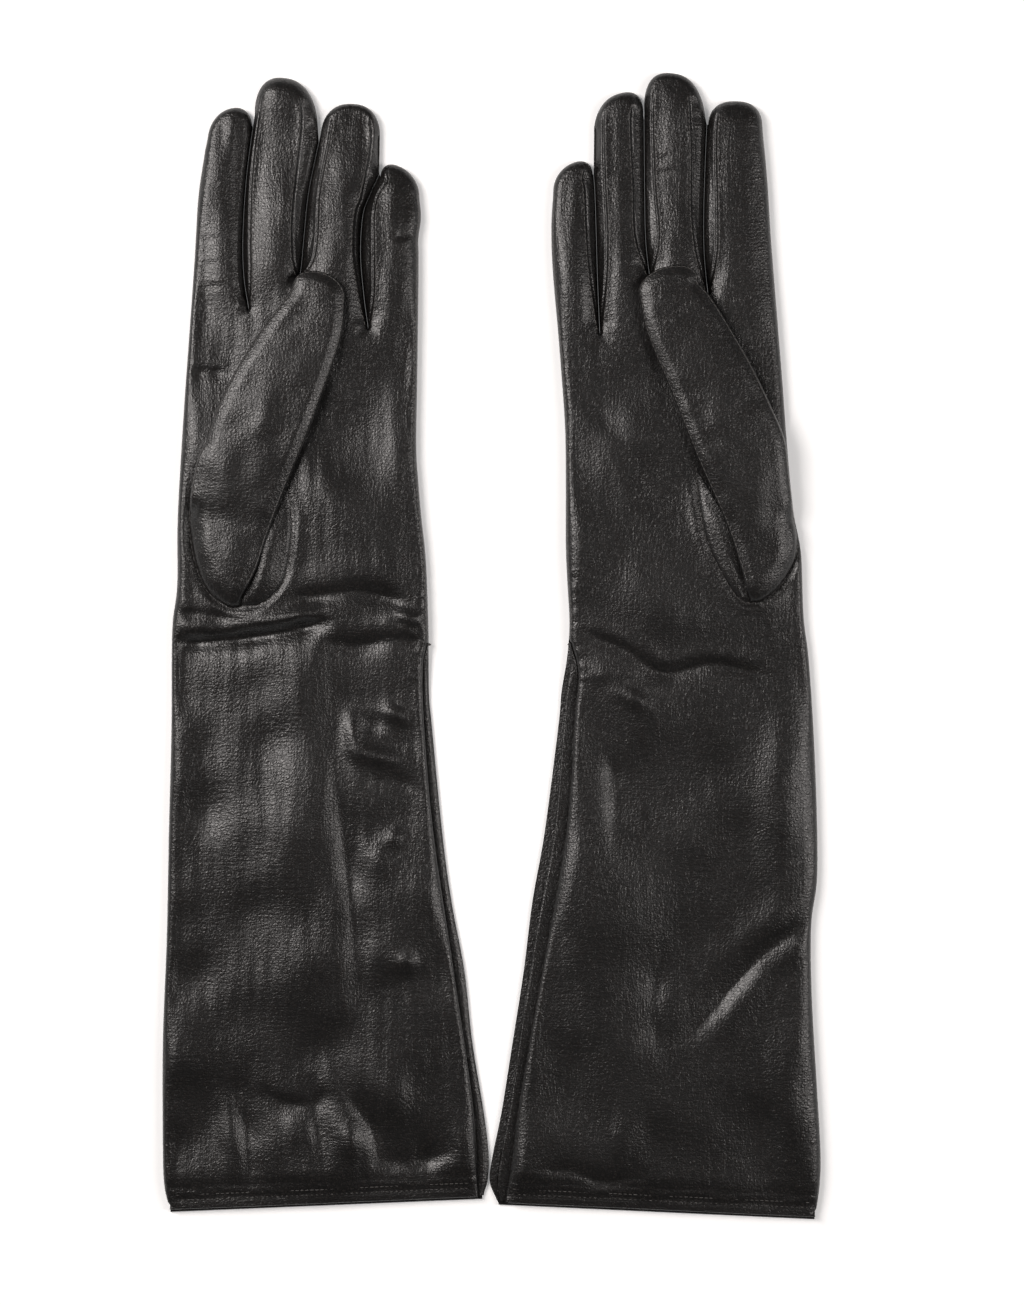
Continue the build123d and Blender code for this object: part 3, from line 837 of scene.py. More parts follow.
class Place:
    """Where one glove lies in the row, and how the pieces that move as one follow its bodies."""

    WRIST_BEND = 13.0  # reach on each side of the wrist's fold, worked into a span that nothing uses
    DIGIT_BEND = 8.5  # and of a finger's or the thumb's

    def __init__(self, side: Side, joints: list[dict]) -> None:
        """Read the glove's place from its joints."""
        self.side = side.value
        self.joints = {j["name"]: j for j in joints}
        wrist = self.joints[f"{self.side}_wrist_fold"]["pos_m"]
        self.origin = (wrist[0] / MM, wrist[1] / MM)
        self.mirror = -1.0 if side is Side.RIGHT else 1.0

    def points(self, local: Array) -> Array:
        """Points of the glove's frame, in millimetres, as points of the row, in metres."""
        out = np.array(local, float)
        out[:, 0] = self.origin[0] + self.mirror * out[:, 0]
        out[:, 1] = self.origin[1] + out[:, 1]
        return out * MM

    def directions(self, local: Array) -> Array:
        """Directions of the glove's frame as directions of the row."""
        return local * np.array([self.mirror, 1.0, 1.0])

    def mesh(self, name: str, body: Body, finish: "bpy.types.Material",
             normals: Array | None = None) -> "bpy.types.Object":
        """Make an object from a body.

        Args:
            name: The object's name, without the glove's side.
            body: The vertices and faces.
            finish: The material.
            normals: Normals of the vertices, where they aren't the body's own.

        Returns:
            The object, with its resting place stored for the material.
        """
        mesh = bpy.data.meshes.new(f"{self.side}_{name}")
        faces = body.faces if self.mirror > 0 else body.faces[:, ::-1]
        mesh.from_pydata(self.points(body.points).tolist(), [], faces.tolist())
        mesh.materials.append(finish)
        rest = mesh.attributes.new("rest", "FLOAT_VECTOR", "POINT")
        rest.data.foreach_set("vector", body.points.astype(np.float32).ravel())
        mesh.shade_smooth()
        if normals is not None:
            mesh.normals_split_custom_set_from_vertices(self.directions(normals).tolist())
        obj = bpy.data.objects.new(f"{self.side}_{name}", mesh)
        bpy.context.scene.collection.objects.link(obj)
        return obj

    def follow(self, obj: "bpy.types.Object", role: str) -> None:
        """Make a finished object move with its glove where it moves as one; any other piece only has its
        place baked into its mesh.

        Args:
            obj: The object.
            role: sleeve or hand_only for a piece that moves as one, hand for one that crosses the
                wrist, or the name of the digit that it reaches into.
        """
        if role == "sleeve":
            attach(obj, f"{self.side}_sleeve")
            return
        if role == "hand_only":
            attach(obj, f"{self.side}_hand")
            return
        if role == "hand":
            first, bend, reach = "sleeve", "wrist", self.WRIST_BEND
        else:
            first, bend, reach = "hand", role, self.DIGIT_BEND
        joint = self.joints[f"{self.side}_{bend}_fold"]
        along = np.array([-joint["axis"][1], joint["axis"][0], 0.0])
        along *= np.sign(along[1]) * reach * MM
        pos = np.array(joint["pos_m"])
        pos - along
        pos + along
        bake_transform(obj)


    def add(self, name: str, body: Body, finish: "bpy.types.Material", role: str, slot: str,
            nodes: list[str], normals: Array | None = None) -> None:
        """Make a piece of the glove from a body.

        Args:
            name: The piece's name, without the glove's side.
            body: The vertices and faces.
            finish: The material.
            role: How the piece follows the joints, as in follow.
            slot: The name of a slot of the frame; not used.
            nodes: The frame's nodes that it replaces, without the glove's side.
            normals: Normals of the vertices, where they aren't the body's own.
        """
        obj = self.mesh(name, body, finish, normals)
        self.follow(obj, role)
        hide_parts(*(f"{self.side}_{node}" for node in nodes))
        LOG.info("%s: %d faces", obj.name, len(body.faces))


# ---- Finishes -----------------------------------------------------------------------------
class Wire:
    """An output of a shader node that can be used in sums."""

    def __init__(self, shader: "Shader", socket: "bpy.types.NodeSocket") -> None:
        """Wrap a socket of shader."""
        self.shader = shader
        self.socket = socket

    def _math(self, kind: str, first: "Wire | float", second: "Wire | float") -> "Wire":
        """A Math node on two values."""
        return self.shader.node("ShaderNodeMath", {"operation": kind}, {0: first, 1: second})

    def __add__(self, other: "Wire | float") -> "Wire":
        """The sum."""
        return self._math("ADD", self, other)

    def __radd__(self, other: float) -> "Wire":
        """The sum, with a number in front."""
        return self._math("ADD", other, self)

    def __sub__(self, other: "Wire | float") -> "Wire":
        """The difference."""
        return self._math("SUBTRACT", self, other)

    def __rsub__(self, other: float) -> "Wire":
        """The difference from a number."""
        return self._math("SUBTRACT", other, self)

    def __mul__(self, other: "Wire | float") -> "Wire":
        """The product."""
        return self._math("MULTIPLY", self, other)

    def __rmul__(self, other: float) -> "Wire":
        """The product, with a number in front."""
        return self._math("MULTIPLY", other, self)


class Shader:
    """A material under construction, with one Principled node."""

    MIX_FIRST, MIX_SECOND, MIX_RESULT = 6, 7, 2  # a colour Mix node's sockets

    def __init__(self, name: str) -> None:
        """Start a material called name."""
        self.material = bpy.data.materials.new(name)
        self.material.use_nodes = True
        self.tree = self.material.node_tree
        self.principled = self.tree.nodes["Principled BSDF"]

    def node(self, kind: str, settings: dict, inputs: dict, output: int | str = 0) -> Wire:
        """Add a node.

        Args:
            kind: The node's type.
            settings: Its properties, set before its sockets.
            inputs: Values or wires for its sockets, by number or name.
            output: Which output to return.

        Returns:
            The output.
        """
        node = self.tree.nodes.new(kind)
        for key, value in settings.items():
            setattr(node, key, value)
        for key, value in inputs.items():
            self.set(node.inputs[key], value)
        return Wire(self, node.outputs[output])

    def set(self, socket: "bpy.types.NodeSocket", value: "Wire | float | tuple") -> None:
        """Give a socket a value or a wire."""
        if isinstance(value, Wire):
            self.tree.links.new(value.socket, socket)
        else:
            socket.default_value = value

    def finish(self, **inputs: "Wire | float | tuple") -> "bpy.types.Material":
        """Set the Principled node's sockets, named with underscores, and return the material."""
        for key, value in inputs.items():
            self.set(self.principled.inputs[key.replace("_", " ")], value)
        return self.material

    def rest(self, scale: tuple[float, float, float] = (1.0, 1.0, 1.0)) -> Wire:
        """The resting place of each point, in millimetres, times scale."""
        place = self.node("ShaderNodeAttribute", {"attribute_name": "rest"}, {}, "Vector")
        return self.node("ShaderNodeVectorMath", {"operation": "MULTIPLY"}, {0: place, 1: scale})

    def noise(self, place: Wire, scale: float, detail: float = 3.0) -> Wire:
        """Noise from 0 to 1."""
        return self.node("ShaderNodeTexNoise", {}, {"Vector": place, "Scale": scale, "Detail": detail})

    def mix(self, amount: "Wire | float", first: tuple, second: tuple) -> Wire:
        """A colour between two colours."""
        inputs = {"Factor": amount, self.MIX_FIRST: first, self.MIX_SECOND: second}
        return self.node("ShaderNodeMix", {"data_type": "RGBA"}, inputs, self.MIX_RESULT)

    def bump(self, height: Wire, strength: float, distance: float) -> Wire:
        """A normal bent by a height, whose full range is distance metres."""
        return self.node(
            "ShaderNodeBump", {}, {"Strength": strength, "Distance": distance, "Height": height}
        )


@dataclass(frozen=True)
class Leather:
    """Black glove kid: pebbled grain, with fine lines along and across where it has been worn, and painted
    shade darkening its colour in the grain's crevices and furrows.

    grain and pores are cells to a millimetre; along and across are the scales of the furrows, and
    stretch how much shorter than long a furrow's pattern is.
    """

    name: str
    # the first colour is painted shade for the grain's crevices and furrows; pale is the colour of the
    # grain's tops
    crevice_shade: Colour = (0.0020, 0.0018, 0.0017, 1.0)
    pale: Colour = (0.0190, 0.0165, 0.0155, 1.0)
    roughness: float = 0.18
    grain: float = 0.78
    pores: float = 2.4
    along: float = 0.60
    across: float = 0.56
    stretch: float = 0.16
    depth: float = 0.00011
    strength: float = 0.7

    def material(self) -> "bpy.types.Material":
        """The finish as a material."""
        shader = Shader(self.name)
        place = shader.rest()
        sway = shader.noise(place, 0.045, 3.0)
        worn = shader.noise(place, 0.028, 2.0)
        crackle = shader.node(
            "ShaderNodeTexVoronoi",
            {"feature": "DISTANCE_TO_EDGE"},
            {"Vector": self._bent(shader, place), "Scale": self.grain},
        )
        pebbles = self._least(shader, crackle * 3.4)
        pores = shader.noise(place, self.pores, 2.0)
        lines = self._furrows(shader, shader.rest((1.0, self.stretch, 0.6)), self.along)
        across = self._furrows(shader, shader.rest((self.stretch, 1.0, 0.6)), self.across)
        rows = lines * worn + across * (1.0 - worn)
        height = pebbles * 0.6 + pores * 0.4 + rows * 0.7
        # flat is 1 on the grain's tops and 0 in its crevices and furrows; there the base colour goes dark
        # as painted shade, and the roughness rises
        flat = pebbles * (rows * 0.7 + 0.3)
        return shader.finish(
            Base_Color=shader.mix(flat * (sway * 0.5 + 0.6), self.crevice_shade, self.pale),
            Roughness=sway * 0.12 + (1.0 - flat) * 0.12 + self.roughness,
            Specular_IOR_Level=0.5,
            Normal=shader.bump(height, self.strength, self.depth),
        )

    @staticmethod
    def _least(shader: Shader, value: Wire) -> Wire:
        """A value, held to at most 1."""
        return shader.node("ShaderNodeMath", {"operation": "MINIMUM"}, {0: value, 1: 1.0})

    def _furrows(self, shader: Shader, place: Wire, scale: float) -> Wire:
        """Narrow furrows in flat leather: 0 along their bottoms and 1 between them."""
        noise = shader.noise(place, scale, 3.0)
        off = shader.node("ShaderNodeMath", {"operation": "ABSOLUTE"}, {0: noise - 0.5})
        return self._least(shader, off * 9.0)

    @staticmethod
    def _bent(shader: Shader, place: Wire) -> Wire:
        """Places shifted a little, so that the grain's cells are uneven."""
        drift = shader.node("ShaderNodeTexNoise", {}, {"Vector": place, "Scale": 0.5}, "Color")
        return shader.node(
            "ShaderNodeVectorMath", {"operation": "MULTIPLY_ADD"}, {0: drift, 1: (1.5, 1.5, 1.5), 2: place}
        )


@dataclass(frozen=True)
class Cloth:
    """Thin woven lining."""

    name: str
    colour: Colour = (0.012, 0.012, 0.013, 1.0)

    def material(self) -> "bpy.types.Material":
        """The finish as a material."""
        shader = Shader(self.name)
        across = shader.node(
            "ShaderNodeTexWave", {"bands_direction": "X"}, {"Vector": shader.rest(), "Scale": 1.4}
        )
        along = shader.node(
            "ShaderNodeTexWave", {"bands_direction": "Y"}, {"Vector": shader.rest(), "Scale": 1.4}
        )
        tone = shader.noise(shader.rest(), 0.3)
        return shader.finish(
            Base_Color=shader.mix(tone, self.colour, (0.02, 0.02, 0.021, 1.0)),
            Roughness=0.75,
            Normal=shader.bump(across * along, 0.5, 0.0001),
        )


@dataclass(frozen=True)
class Thread:
    """Twisted silk sewing thread."""

    name: str
    colour: Colour = (0.045, 0.042, 0.040, 1.0)

    def material(self) -> "bpy.types.Material":
        """The finish as a material."""
        shader = Shader(self.name)
        twist = shader.node(
            "ShaderNodeTexWave", {"bands_direction": "DIAGONAL"}, {"Vector": shader.rest(), "Scale": 2.2}
        )
        tone = shader.noise(shader.rest(), 0.8)
        return shader.finish(
            Base_Color=shader.mix(tone, self.colour, (0.09, 0.084, 0.080, 1.0)),
            Roughness=0.45,
            Normal=shader.bump(twist, 0.4, 0.00008),
        )


@dataclass
class Finishes:
    """The materials of the pair."""

    leather: "bpy.types.Material"
    lining: "bpy.types.Material"
    thread: "bpy.types.Material"


# ---- Stitches -----------------------------------------------------------------------------
class Stitcher:
    """Rows of stitches along paths, made by one node tree."""

    SEED = 5
    SHORTEST, LONGEST = 0.88, 1.12  # limits of a stitch's size, against the size asked for
    INPUTS = (("Geometry", "Geometry"), ("Stitch", "Object"), ("Pitch", "Float"), ("Size", "Vector"),
              ("Seed", "Int"), ("Finish", "Material"))

    def __init__(self, finishes: Finishes) -> None:
        """Build the node tree and one stitch."""
        self.finishes = finishes
        self.stitch = self._stitch()
        self.tree = self._tree()

    @staticmethod
    def _stitch() -> "bpy.types.Object":
        """One stitch, a metre long and as thick, lying along X; the rows scale it."""
        mesh = bpy.data.meshes.new("stitch")
        shape = bmesh.new()
        bmesh.ops.create_uvsphere(shape, u_segments=8, v_segments=6, radius=0.5)
        for vertex in shape.verts:
            vertex.co = (vertex.co.z, vertex.co.x, vertex.co.y)
        shape.to_mesh(mesh)
        shape.free()
        mesh.shade_smooth()
        obj = bpy.data.objects.new("stitch", mesh)
        bpy.context.scene.collection.objects.link(obj)
        obj.hide_render = True
        obj.hide_viewport = True
        return obj

    def _tree(self) -> "bpy.types.NodeTree":
        """The node tree that lays a stitch at even distances along curves."""
        tree = bpy.data.node_groups.new("stitch_rows", "GeometryNodeTree")
        for name, kind in self.INPUTS:
            tree.interface.new_socket(name, in_out="INPUT", socket_type=f"NodeSocket{kind}")
        tree.interface.new_socket("Geometry", in_out="OUTPUT", socket_type="NodeSocketGeometry")
        nodes = tree.nodes
        start, end = nodes.new("NodeGroupInput"), nodes.new("NodeGroupOutput")
        row = nodes.new("GeometryNodeCurveToPoints")
        row.mode = "LENGTH"
        part = nodes.new("GeometryNodeObjectInfo")
        size = nodes.new("FunctionNodeRandomValue")
        size.data_type = "FLOAT"
        size.inputs[2].default_value = self.SHORTEST
        size.inputs[3].default_value = self.LONGEST
        scale = nodes.new("ShaderNodeVectorMath")
        scale.operation = "SCALE"
        turn = nodes.new("FunctionNodeAlignRotationToVector")
        turn.axis = "X"
        put = nodes.new("GeometryNodeInstanceOnPoints")
        real = nodes.new("GeometryNodeRealizeInstances")
        paint = nodes.new("GeometryNodeSetMaterial")
        for giver, output, taker, socket in (
            (start, "Geometry", row, "Curve"),
            (start, "Pitch", row, "Length"),
            (start, "Stitch", part, "Object"),
            (start, "Seed", size, "Seed"),
            (start, "Size", scale, 0),
            (size, 1, scale, "Scale"),
            (row, "Points", put, "Points"),
            (row, "Tangent", turn, "Vector"),
            (part, "Geometry", put, "Instance"),
            (turn, "Rotation", put, "Rotation"),
            (scale, 0, put, "Scale"),
            (put, "Instances", real, "Geometry"),
            (real, "Geometry", paint, "Geometry"),
            (start, "Finish", paint, "Material"),
            (paint, "Geometry", end, "Geometry"),
        ):
            tree.links.new(giver.outputs[output], taker.inputs[socket])
        return tree

    def sew(self, place: Place, name: str, paths: list[Array], role: str,
            pitch: float = 2.2, length: float = 1.7, thick: float = 0.34) -> "bpy.types.Object":
        """Sew rows of stitches.

        Args:
            place: The glove's place.
            name: The name of the stitches, without the glove's side.
            paths: Paths in the glove's frame, three numbers to a point.
            role: How the stitches follow the joints, as in Place.follow.
            pitch: The distance from stitch to stitch.
            length: The length of a stitch.
            thick: The thickness of the thread.

        Returns:
            The stitches as one mesh.
        """
        curve = bpy.data.curves.new(f"{name}_path", "CURVE")
        curve.dimensions = "3D"
        for path in paths:
            spline = curve.splines.new("POLY")
            spline.points.add(len(path) - 1)
            row = np.hstack([place.points(path), np.ones((len(path), 1))])
            spline.points.foreach_set("co", row.ravel())
        guide = bpy.data.objects.new(f"{name}_path", curve)
        bpy.context.scene.collection.objects.link(guide)
        modifier = guide.modifiers.new("rows", "NODES")
        modifier.node_group = self.tree
        values = {
            "Stitch": self.stitch,
            "Pitch": pitch * MM,
            "Size": (length * MM, thick * MM, thick * MM),
            "Seed": self.SEED,
            "Finish": self.finishes.thread,
        }
        for item in self.tree.interface.items_tree:
            if item.in_out == "INPUT" and item.name in values:
                modifier[item.identifier] = values[item.name]
        view = bpy.context.evaluated_depsgraph_get()
        view.update()
        mesh = bpy.data.meshes.new_from_object(guide.evaluated_get(view), depsgraph=view)
        bpy.data.objects.remove(guide)
        mesh.name = f"{place.side}_{name}"
        obj = bpy.data.objects.new(f"{place.side}_{name}", mesh)
        bpy.context.scene.collection.objects.link(obj)
        local = np.zeros(len(mesh.vertices) * 3, np.float32)
        mesh.vertices.foreach_get("co", local)
        rest = mesh.attributes.new("rest", "FLOAT_VECTOR", "POINT")
        rest.data.foreach_set("vector", local / MM)
        mesh.shade_smooth()
        place.follow(obj, role)
        LOG.info("%s: %d faces", obj.name, len(mesh.polygons))
        return obj


# ---- The pieces of a glove ----------------------------------------------------------------
class Trank:
    """The palm, back and finger strips, one skin, with the forks let in beside the fingers."""

    def __init__(self, skin: Skin) -> None:
        """Mesh the two sheets of skin and join them along their edges."""
        self.skin = skin
        lines = [path for seams in skin.seams.values() for path in seams.values()]
        top = Sheet(skin.palm_loop, lines)
        low = Sheet(skin.back_loop, [], 2.3)
        top_z = skin.palm(top.points)
        low_z = skin.back(low.points)
        points = np.vstack([np.column_stack([top.points, top_z]), np.column_stack([low.points, low_z])])
        faces = np.vstack([top.faces, low.faces[:, ::-1] + len(top.points)])
        self.layer = np.repeat([Layer.PALM.value, Layer.BACK.value], [len(top.faces), len(low.faces)])
        self.body = self._weld(points, faces)
        self.labels = self._labels()

    @staticmethod
    def _weld(points: Array, faces: Array) -> Body:
        """Join vertices that lie on each other."""
        keys = np.round(points / 0.004).astype(np.int64)
        _, first, same = np.unique(keys, axis=0, return_index=True, return_inverse=True)
        return Body(points[first], same.ravel()[faces])

    def _labels(self) -> Array:
        """The piece that each face belongs to."""
        shape = self.skin.shape
        middle = self.body.points[self.body.faces].mean(axis=1)[:, :2]
        fingers = self.skin.past_knuckles(middle)
        column = np.zeros(len(middle), int)
        for slot in shape.slots:
            path = np.array(slot)
            lean = (path[-1, 0] - path[0, 0]) / (path[-1, 1] - path[0, 1])
            beyond = path[0, 0] + (middle[:, 1] - path[0, 1]) * lean
            inside = np.interp(middle[:, 1], path[:, 1], path[:, 0])
            column += middle[:, 0] > np.where(middle[:, 1] > path[0, 1], inside, beyond)
        labels = np.where(fingers, np.array(FINGERS)[column], "trank").astype(object)
        for name, seams in self.skin.seams.items():
            for label, path in seams.items():
                here = (labels == name) & (self.layer == Layer.PALM.value)
                here &= middle[:, 1] > path[0, 1]
                side = to_path(middle[here], path)[1]
                fork = side > 0 if label == "inner" else side < 0
                labels[np.flatnonzero(here)[fork]] = f"{name}_fork_{label}"
        return labels

    def build(self, place: Place, finishes: Finishes) -> None:
        """Make the pieces of the skin, each standing for the nodes that it covers."""
        normals = self.body.normals()
        roots = [f"fork_root_{a}_{b}" for a, b in zip(FINGERS, FINGERS[1:])]
        nodes = {"trank": ["sleeve_trank", "hand_trank", *roots]}
        nodes.update({name: [f"{name}_strips"] for name in FINGERS})
        if "outer" not in self.skin.seams["index"]:
            nodes["index"].append("index_fork_outer")
        for name in np.unique(self.labels.astype(str)):
            body, used = self.body.part(self.labels == name)
            title = f"{name}_strips" if name in FINGERS else name
            role = "hand" if name == "trank" else name.split("_")[0]
            covered = nodes.get(name, [name])
            place.add(f"{title}_skin", body, finishes.leather, role, "leather", covered, normals[used])


class Gusset:
    """The pleated wedge between the palm's edge and the back's edge, from the wrist to the hem."""

    ROWS = 190
    COLUMNS = 32
    MEETING = 2.6  # height of both edges at the wedge's point
    TWO_PLEATS = 2.0  # pleat width from which the wedge is folded twice

    def __init__(self, skin: Skin) -> None:
        """Work out the ribbon of skin."""
        self.skin = skin

    def body(self) -> Body:
        """The ribbon."""
        shape = self.skin.shape
        palm = smooth_path(shape.palm_edge)
        back = smooth_path(shape.little_side)
        back = back[back[:, 1] < palm[0, 1] + 1.0][::-1]
        v = np.linspace(palm[-1, 1] + 0.5, palm[0, 1] - 0.5, self.ROWS)
        inner = np.interp(v, palm[::-1, 1], palm[::-1, 0])
        outer = np.interp(v, back[:, 1], back[:, 0])
        rows = [self._row(*at) for at in zip(v, inner, outer)]
        return Body(np.vstack(rows), quads(self.ROWS, self.COLUMNS))

    def _row(self, v: float, inner: float, outer: float) -> Array:
        """The ribbon's section at v, from the palm's edge at inner to the back's at outer."""
        run = float(smoothstep(0.0, 25.0, self.skin.shape.palm_edge[0][1] - v))
        z_palm = self.MEETING + 0.8 * run
        z_back = self.MEETING - 1.5 * run
        fold_in = inner - 1.0 - (5.0 + 4.0 * float(smoothstep(0, 150, -v))) * run
        width = outer - inner
        knots = [(inner, z_palm), (inner - 0.4, z_palm - 0.5)]
        if self.skin.shape.pleat > self.TWO_PLEATS:
            pleat = outer - width * 0.38 * (1.0 + 0.15 * math.sin(v / 17.0))
            knots += [(fold_in, z_palm - 0.9), (inner + 0.2 * width, z_back + 1.3)]
            knots += [(pleat, z_back + 1.5 * run + 0.1), (pleat - 0.5, z_back + 0.6)]
            knots += [(inner + 0.3 * width, z_back + 0.5)]
        else:
            knots += [(fold_in, z_palm - 1.0), (inner, z_back + 1.0)]
            knots += [(inner + 0.6 * width, z_back + 0.9)]
        curve = smooth_path([*knots, (outer, z_back)], 100.0)
        steps = np.linalg.norm(np.diff(curve, axis=0), axis=1)
        at = np.concatenate([[0.0], np.cumsum(steps)])
        t = np.linspace(0, at[-1], self.COLUMNS)
        u, z = (np.interp(t, at, curve[:, i]) for i in range(2))
        return np.column_stack([u, np.full(len(t), v), z])

    def build(self, place: Place, finishes: Finishes) -> None:
        """Make the gusset."""
        place.add("gusset_skin", self.body(), finishes.leather, "hand", "leather", ["gusset"])


class Hem:
    """The rolled edge at the opening, and the leather turned in behind it."""

    ROLL = 0.62  # radius of the rolled edge
    TURNED = (1.5, 3.0, 5.0, 7.0)  # distances up the sleeve of the turned-in leather's rows

    def __init__(self, skin: Skin) -> None:
        """Work out the hem of skin."""
        self.skin = skin

    def _strip(self, layer: Layer) -> Body:
        """The roll and turning of one sheet."""
        shape = self.skin.shape
        line = smooth_path([shape.hem[0], shape.hem[1]], 1.2)
        edge = smooth_path(shape.little_side if layer is Layer.BACK else shape.palm_edge)[-1]
        line = line[line[:, 0] <= max(edge[0], line[2, 0]) + 0.1]
        up = np.array([0.0, 1.0])
        palm = layer is Layer.PALM
        line = line + up * (self.skin.HEM_STEP if palm else 0.0)
        z = self.skin.palm(line + up * 0.2) if palm else self.skin.back(line + up * 0.2)
        sign = 1.0 if palm else -1.0
        turn = np.linspace(0, math.pi, 7)
        profile = [(-self.ROLL * math.sin(t), -sign * self.ROLL * (1 - math.cos(t))) for t in turn]
        profile += [(d, -sign * 2 * self.ROLL) for d in self.TURNED]
        rows = [np.column_stack([line + up * a, z + b]) for a, b in profile]
        body = Body(np.vstack(rows), quads(len(profile), len(line)))
        if not palm:
            body.faces = body.faces[:, ::-1]
        return body

    def build(self, place: Place, finishes: Finishes) -> None:
        """Make the hem."""
        top, low = self._strip(Layer.PALM), self._strip(Layer.BACK)
        body = Body(
            np.vstack([top.points, low.points]), np.vstack([top.faces, low.faces + len(top.points)])
        )
        place.add("hem_roll", body, finishes.leather, "sleeve", "leather", ["hem_turn"])


class Thumb:
    """The thumb's front and back panels, set into the palm by an oval seam."""

    ROOT_REACH = 8.0  # distance from the oval seam over which the thumb lifts free
    EDGE_REACH = 4.6  # width of the front panel's rounded edge
    UNDER_REACH = 2.5  # and of the back panel's
    CROWN_REACH = 12.0  # distance from the edge over which the front still rises
    UNDER = 0.45  # share of the thickness that lies below the free edge
    GROOVE, RIM = 1.7, 0.7  # distances of the seam's groove and rim from the edge
    HIGHEST = 14.8

    def __init__(self, skin: Skin) -> None:
        """Work out the outline of the thumb on skin."""
        self.skin = skin
        shape = skin.shape.thumb
        tip = tip_path(shape.web_side[-1], shape.tip, shape.outer_side[-1], 2.2)
        low = smooth_path(shape.oval_low)
        web = smooth_path([shape.oval_low[0], *shape.web_side])
        outer = smooth_path(shape.outer_side)
        self.free = np.vstack([web, tip, outer[::-1]])
        self.loop = np.vstack([self.free, low[::-1]])
        self.oval = np.vstack([low, smooth_path(shape.oval_side)[1:]])
        self.low = low
        self.root = np.array(shape.oval_low[1])
        self.axis = np.array(shape.tip) - self.root
        self.axis /= np.linalg.norm(self.axis)

    def base(self, points: Array) -> Array:
        """Height of the bed that the thumb lies on, clear of the palm's skin."""
        along = (points - self.root) @ self.axis
        seam = to_path(points, self.low)[0]
        free = smoothstep(0.0, self.ROOT_REACH, seam)
        palm = self.skin.bed(points) + 0.5 + 0.25 * smoothstep(30.0, 60.0, along)
        return palm * free + (self.skin.palm(points) + 0.1) * (1.0 - free)

    def seam(self, inset: float) -> Array:
        """The line sewn just inside the thumb's free edge."""
        path = self.free[6:-6]
        steps = np.gradient(path, axis=0)
        steps /= np.linalg.norm(steps, axis=1)[:, None]
        return path + inset * np.column_stack([steps[:, 1], -steps[:, 0]])

    def thick(self, points: Array) -> Array:
        """Thickness of the thumb away from its edges."""
        along = (points - self.root) @ self.axis
        full = self.skin.shape.thumb.high
        return full * (0.5 + 0.5 * smoothstep(0.0, 45.0, along))

    def rise(self, points: Array) -> Array:
        """How much of its thickness the thumb has, growing from 0 at the oval seam."""
        return rounded(to_path(points, self.low)[0] / self.ROOT_REACH)

    def front(self, points: Array) -> Array:
        """Height of the front panel."""
        edge = to_path(points, self.free)[0]
        low = self.rise(points)
        thick = self.thick(points)
        roll = rounded(edge / self.EDGE_REACH)
        crown = np.clip(edge / self.CROWN_REACH, 0.0, 1.0)
        half = self.UNDER * thick * low
        z = self.base(points) + half + (thick - half) * roll * low * (0.84 + 0.16 * crown)
        for piece in self.skin.shape.thumb.swells:
            z += piece.height(points) * roll
        z += Waves(21, 0.25, 9.0, 30.0).height(points) * roll * low
        groove = bell((edge - self.GROOVE) / 0.45) - 0.8 * bell((edge - self.RIM) / 0.5)
        return np.minimum(z - 0.38 * groove * smoothstep(0.3, 1.0, low), self.HIGHEST)

    def under(self, points: Array) -> Array:
        """Height of the back panel."""
        edge = to_path(points, self.free)[0]
        half = self.UNDER * self.thick(points) * self.rise(points)
        return self.base(points) + half * (1.0 - rounded(edge / self.UNDER_REACH))

    def build(self, place: Place, finishes: Finishes) -> None:
        """Make the thumb's panels and the small gore beside its root."""
        top = Sheet(self.loop, [], 1.1)
        low = Sheet(self.loop, [], 2.0)
        front = Body(np.column_stack([top.points, self.front(top.points)]), top.faces)
        back = Body(np.column_stack([low.points, self.under(low.points)]), low.faces[:, ::-1])
        for name, body, role, nodes in (
            ("front", front, "thumb", ["thumb_front", "thumb_lining"]),
            ("back", back, "thumb", ["thumb_back"]),
            ("gore", self._gore(), "hand_only", ["thumb_base"]),
        ):
            place.add(f"thumb_{name}_skin", body, finishes.leather, role, "leather", nodes)

    def _gore(self) -> Body:
        """The part of the root that shows beside the thumb."""
        shape = self.skin.shape.thumb
        side = smooth_path(shape.oval_side)
        outer = smooth_path(shape.outer_side)
        outer = outer[outer[:, 1] < side[-1, 1] + 6.0]
        hidden = outer + np.array([-7.0, 2.0])
        loop = np.vstack([side[::-1], hidden[::-1]])[::-1]
        if self._area(loop) > 0:
            loop = loop[::-1]
        sheet = Sheet(loop, [], 1.2)
        seam = to_path(sheet.points, side)[0]
        z = self.skin.palm(sheet.points) + 0.15 + 1.7 * smoothstep(0.0, 8.0, seam)
        return Body(np.column_stack([sheet.points, z]), sheet.faces)

    @staticmethod
    def _area(loop: Array) -> float:
        """Signed area of a loop."""
        x, y = loop[:, 0], loop[:, 1]
        return float(np.sum(x * np.roll(y, -1) - np.roll(x, -1) * y) / 2)


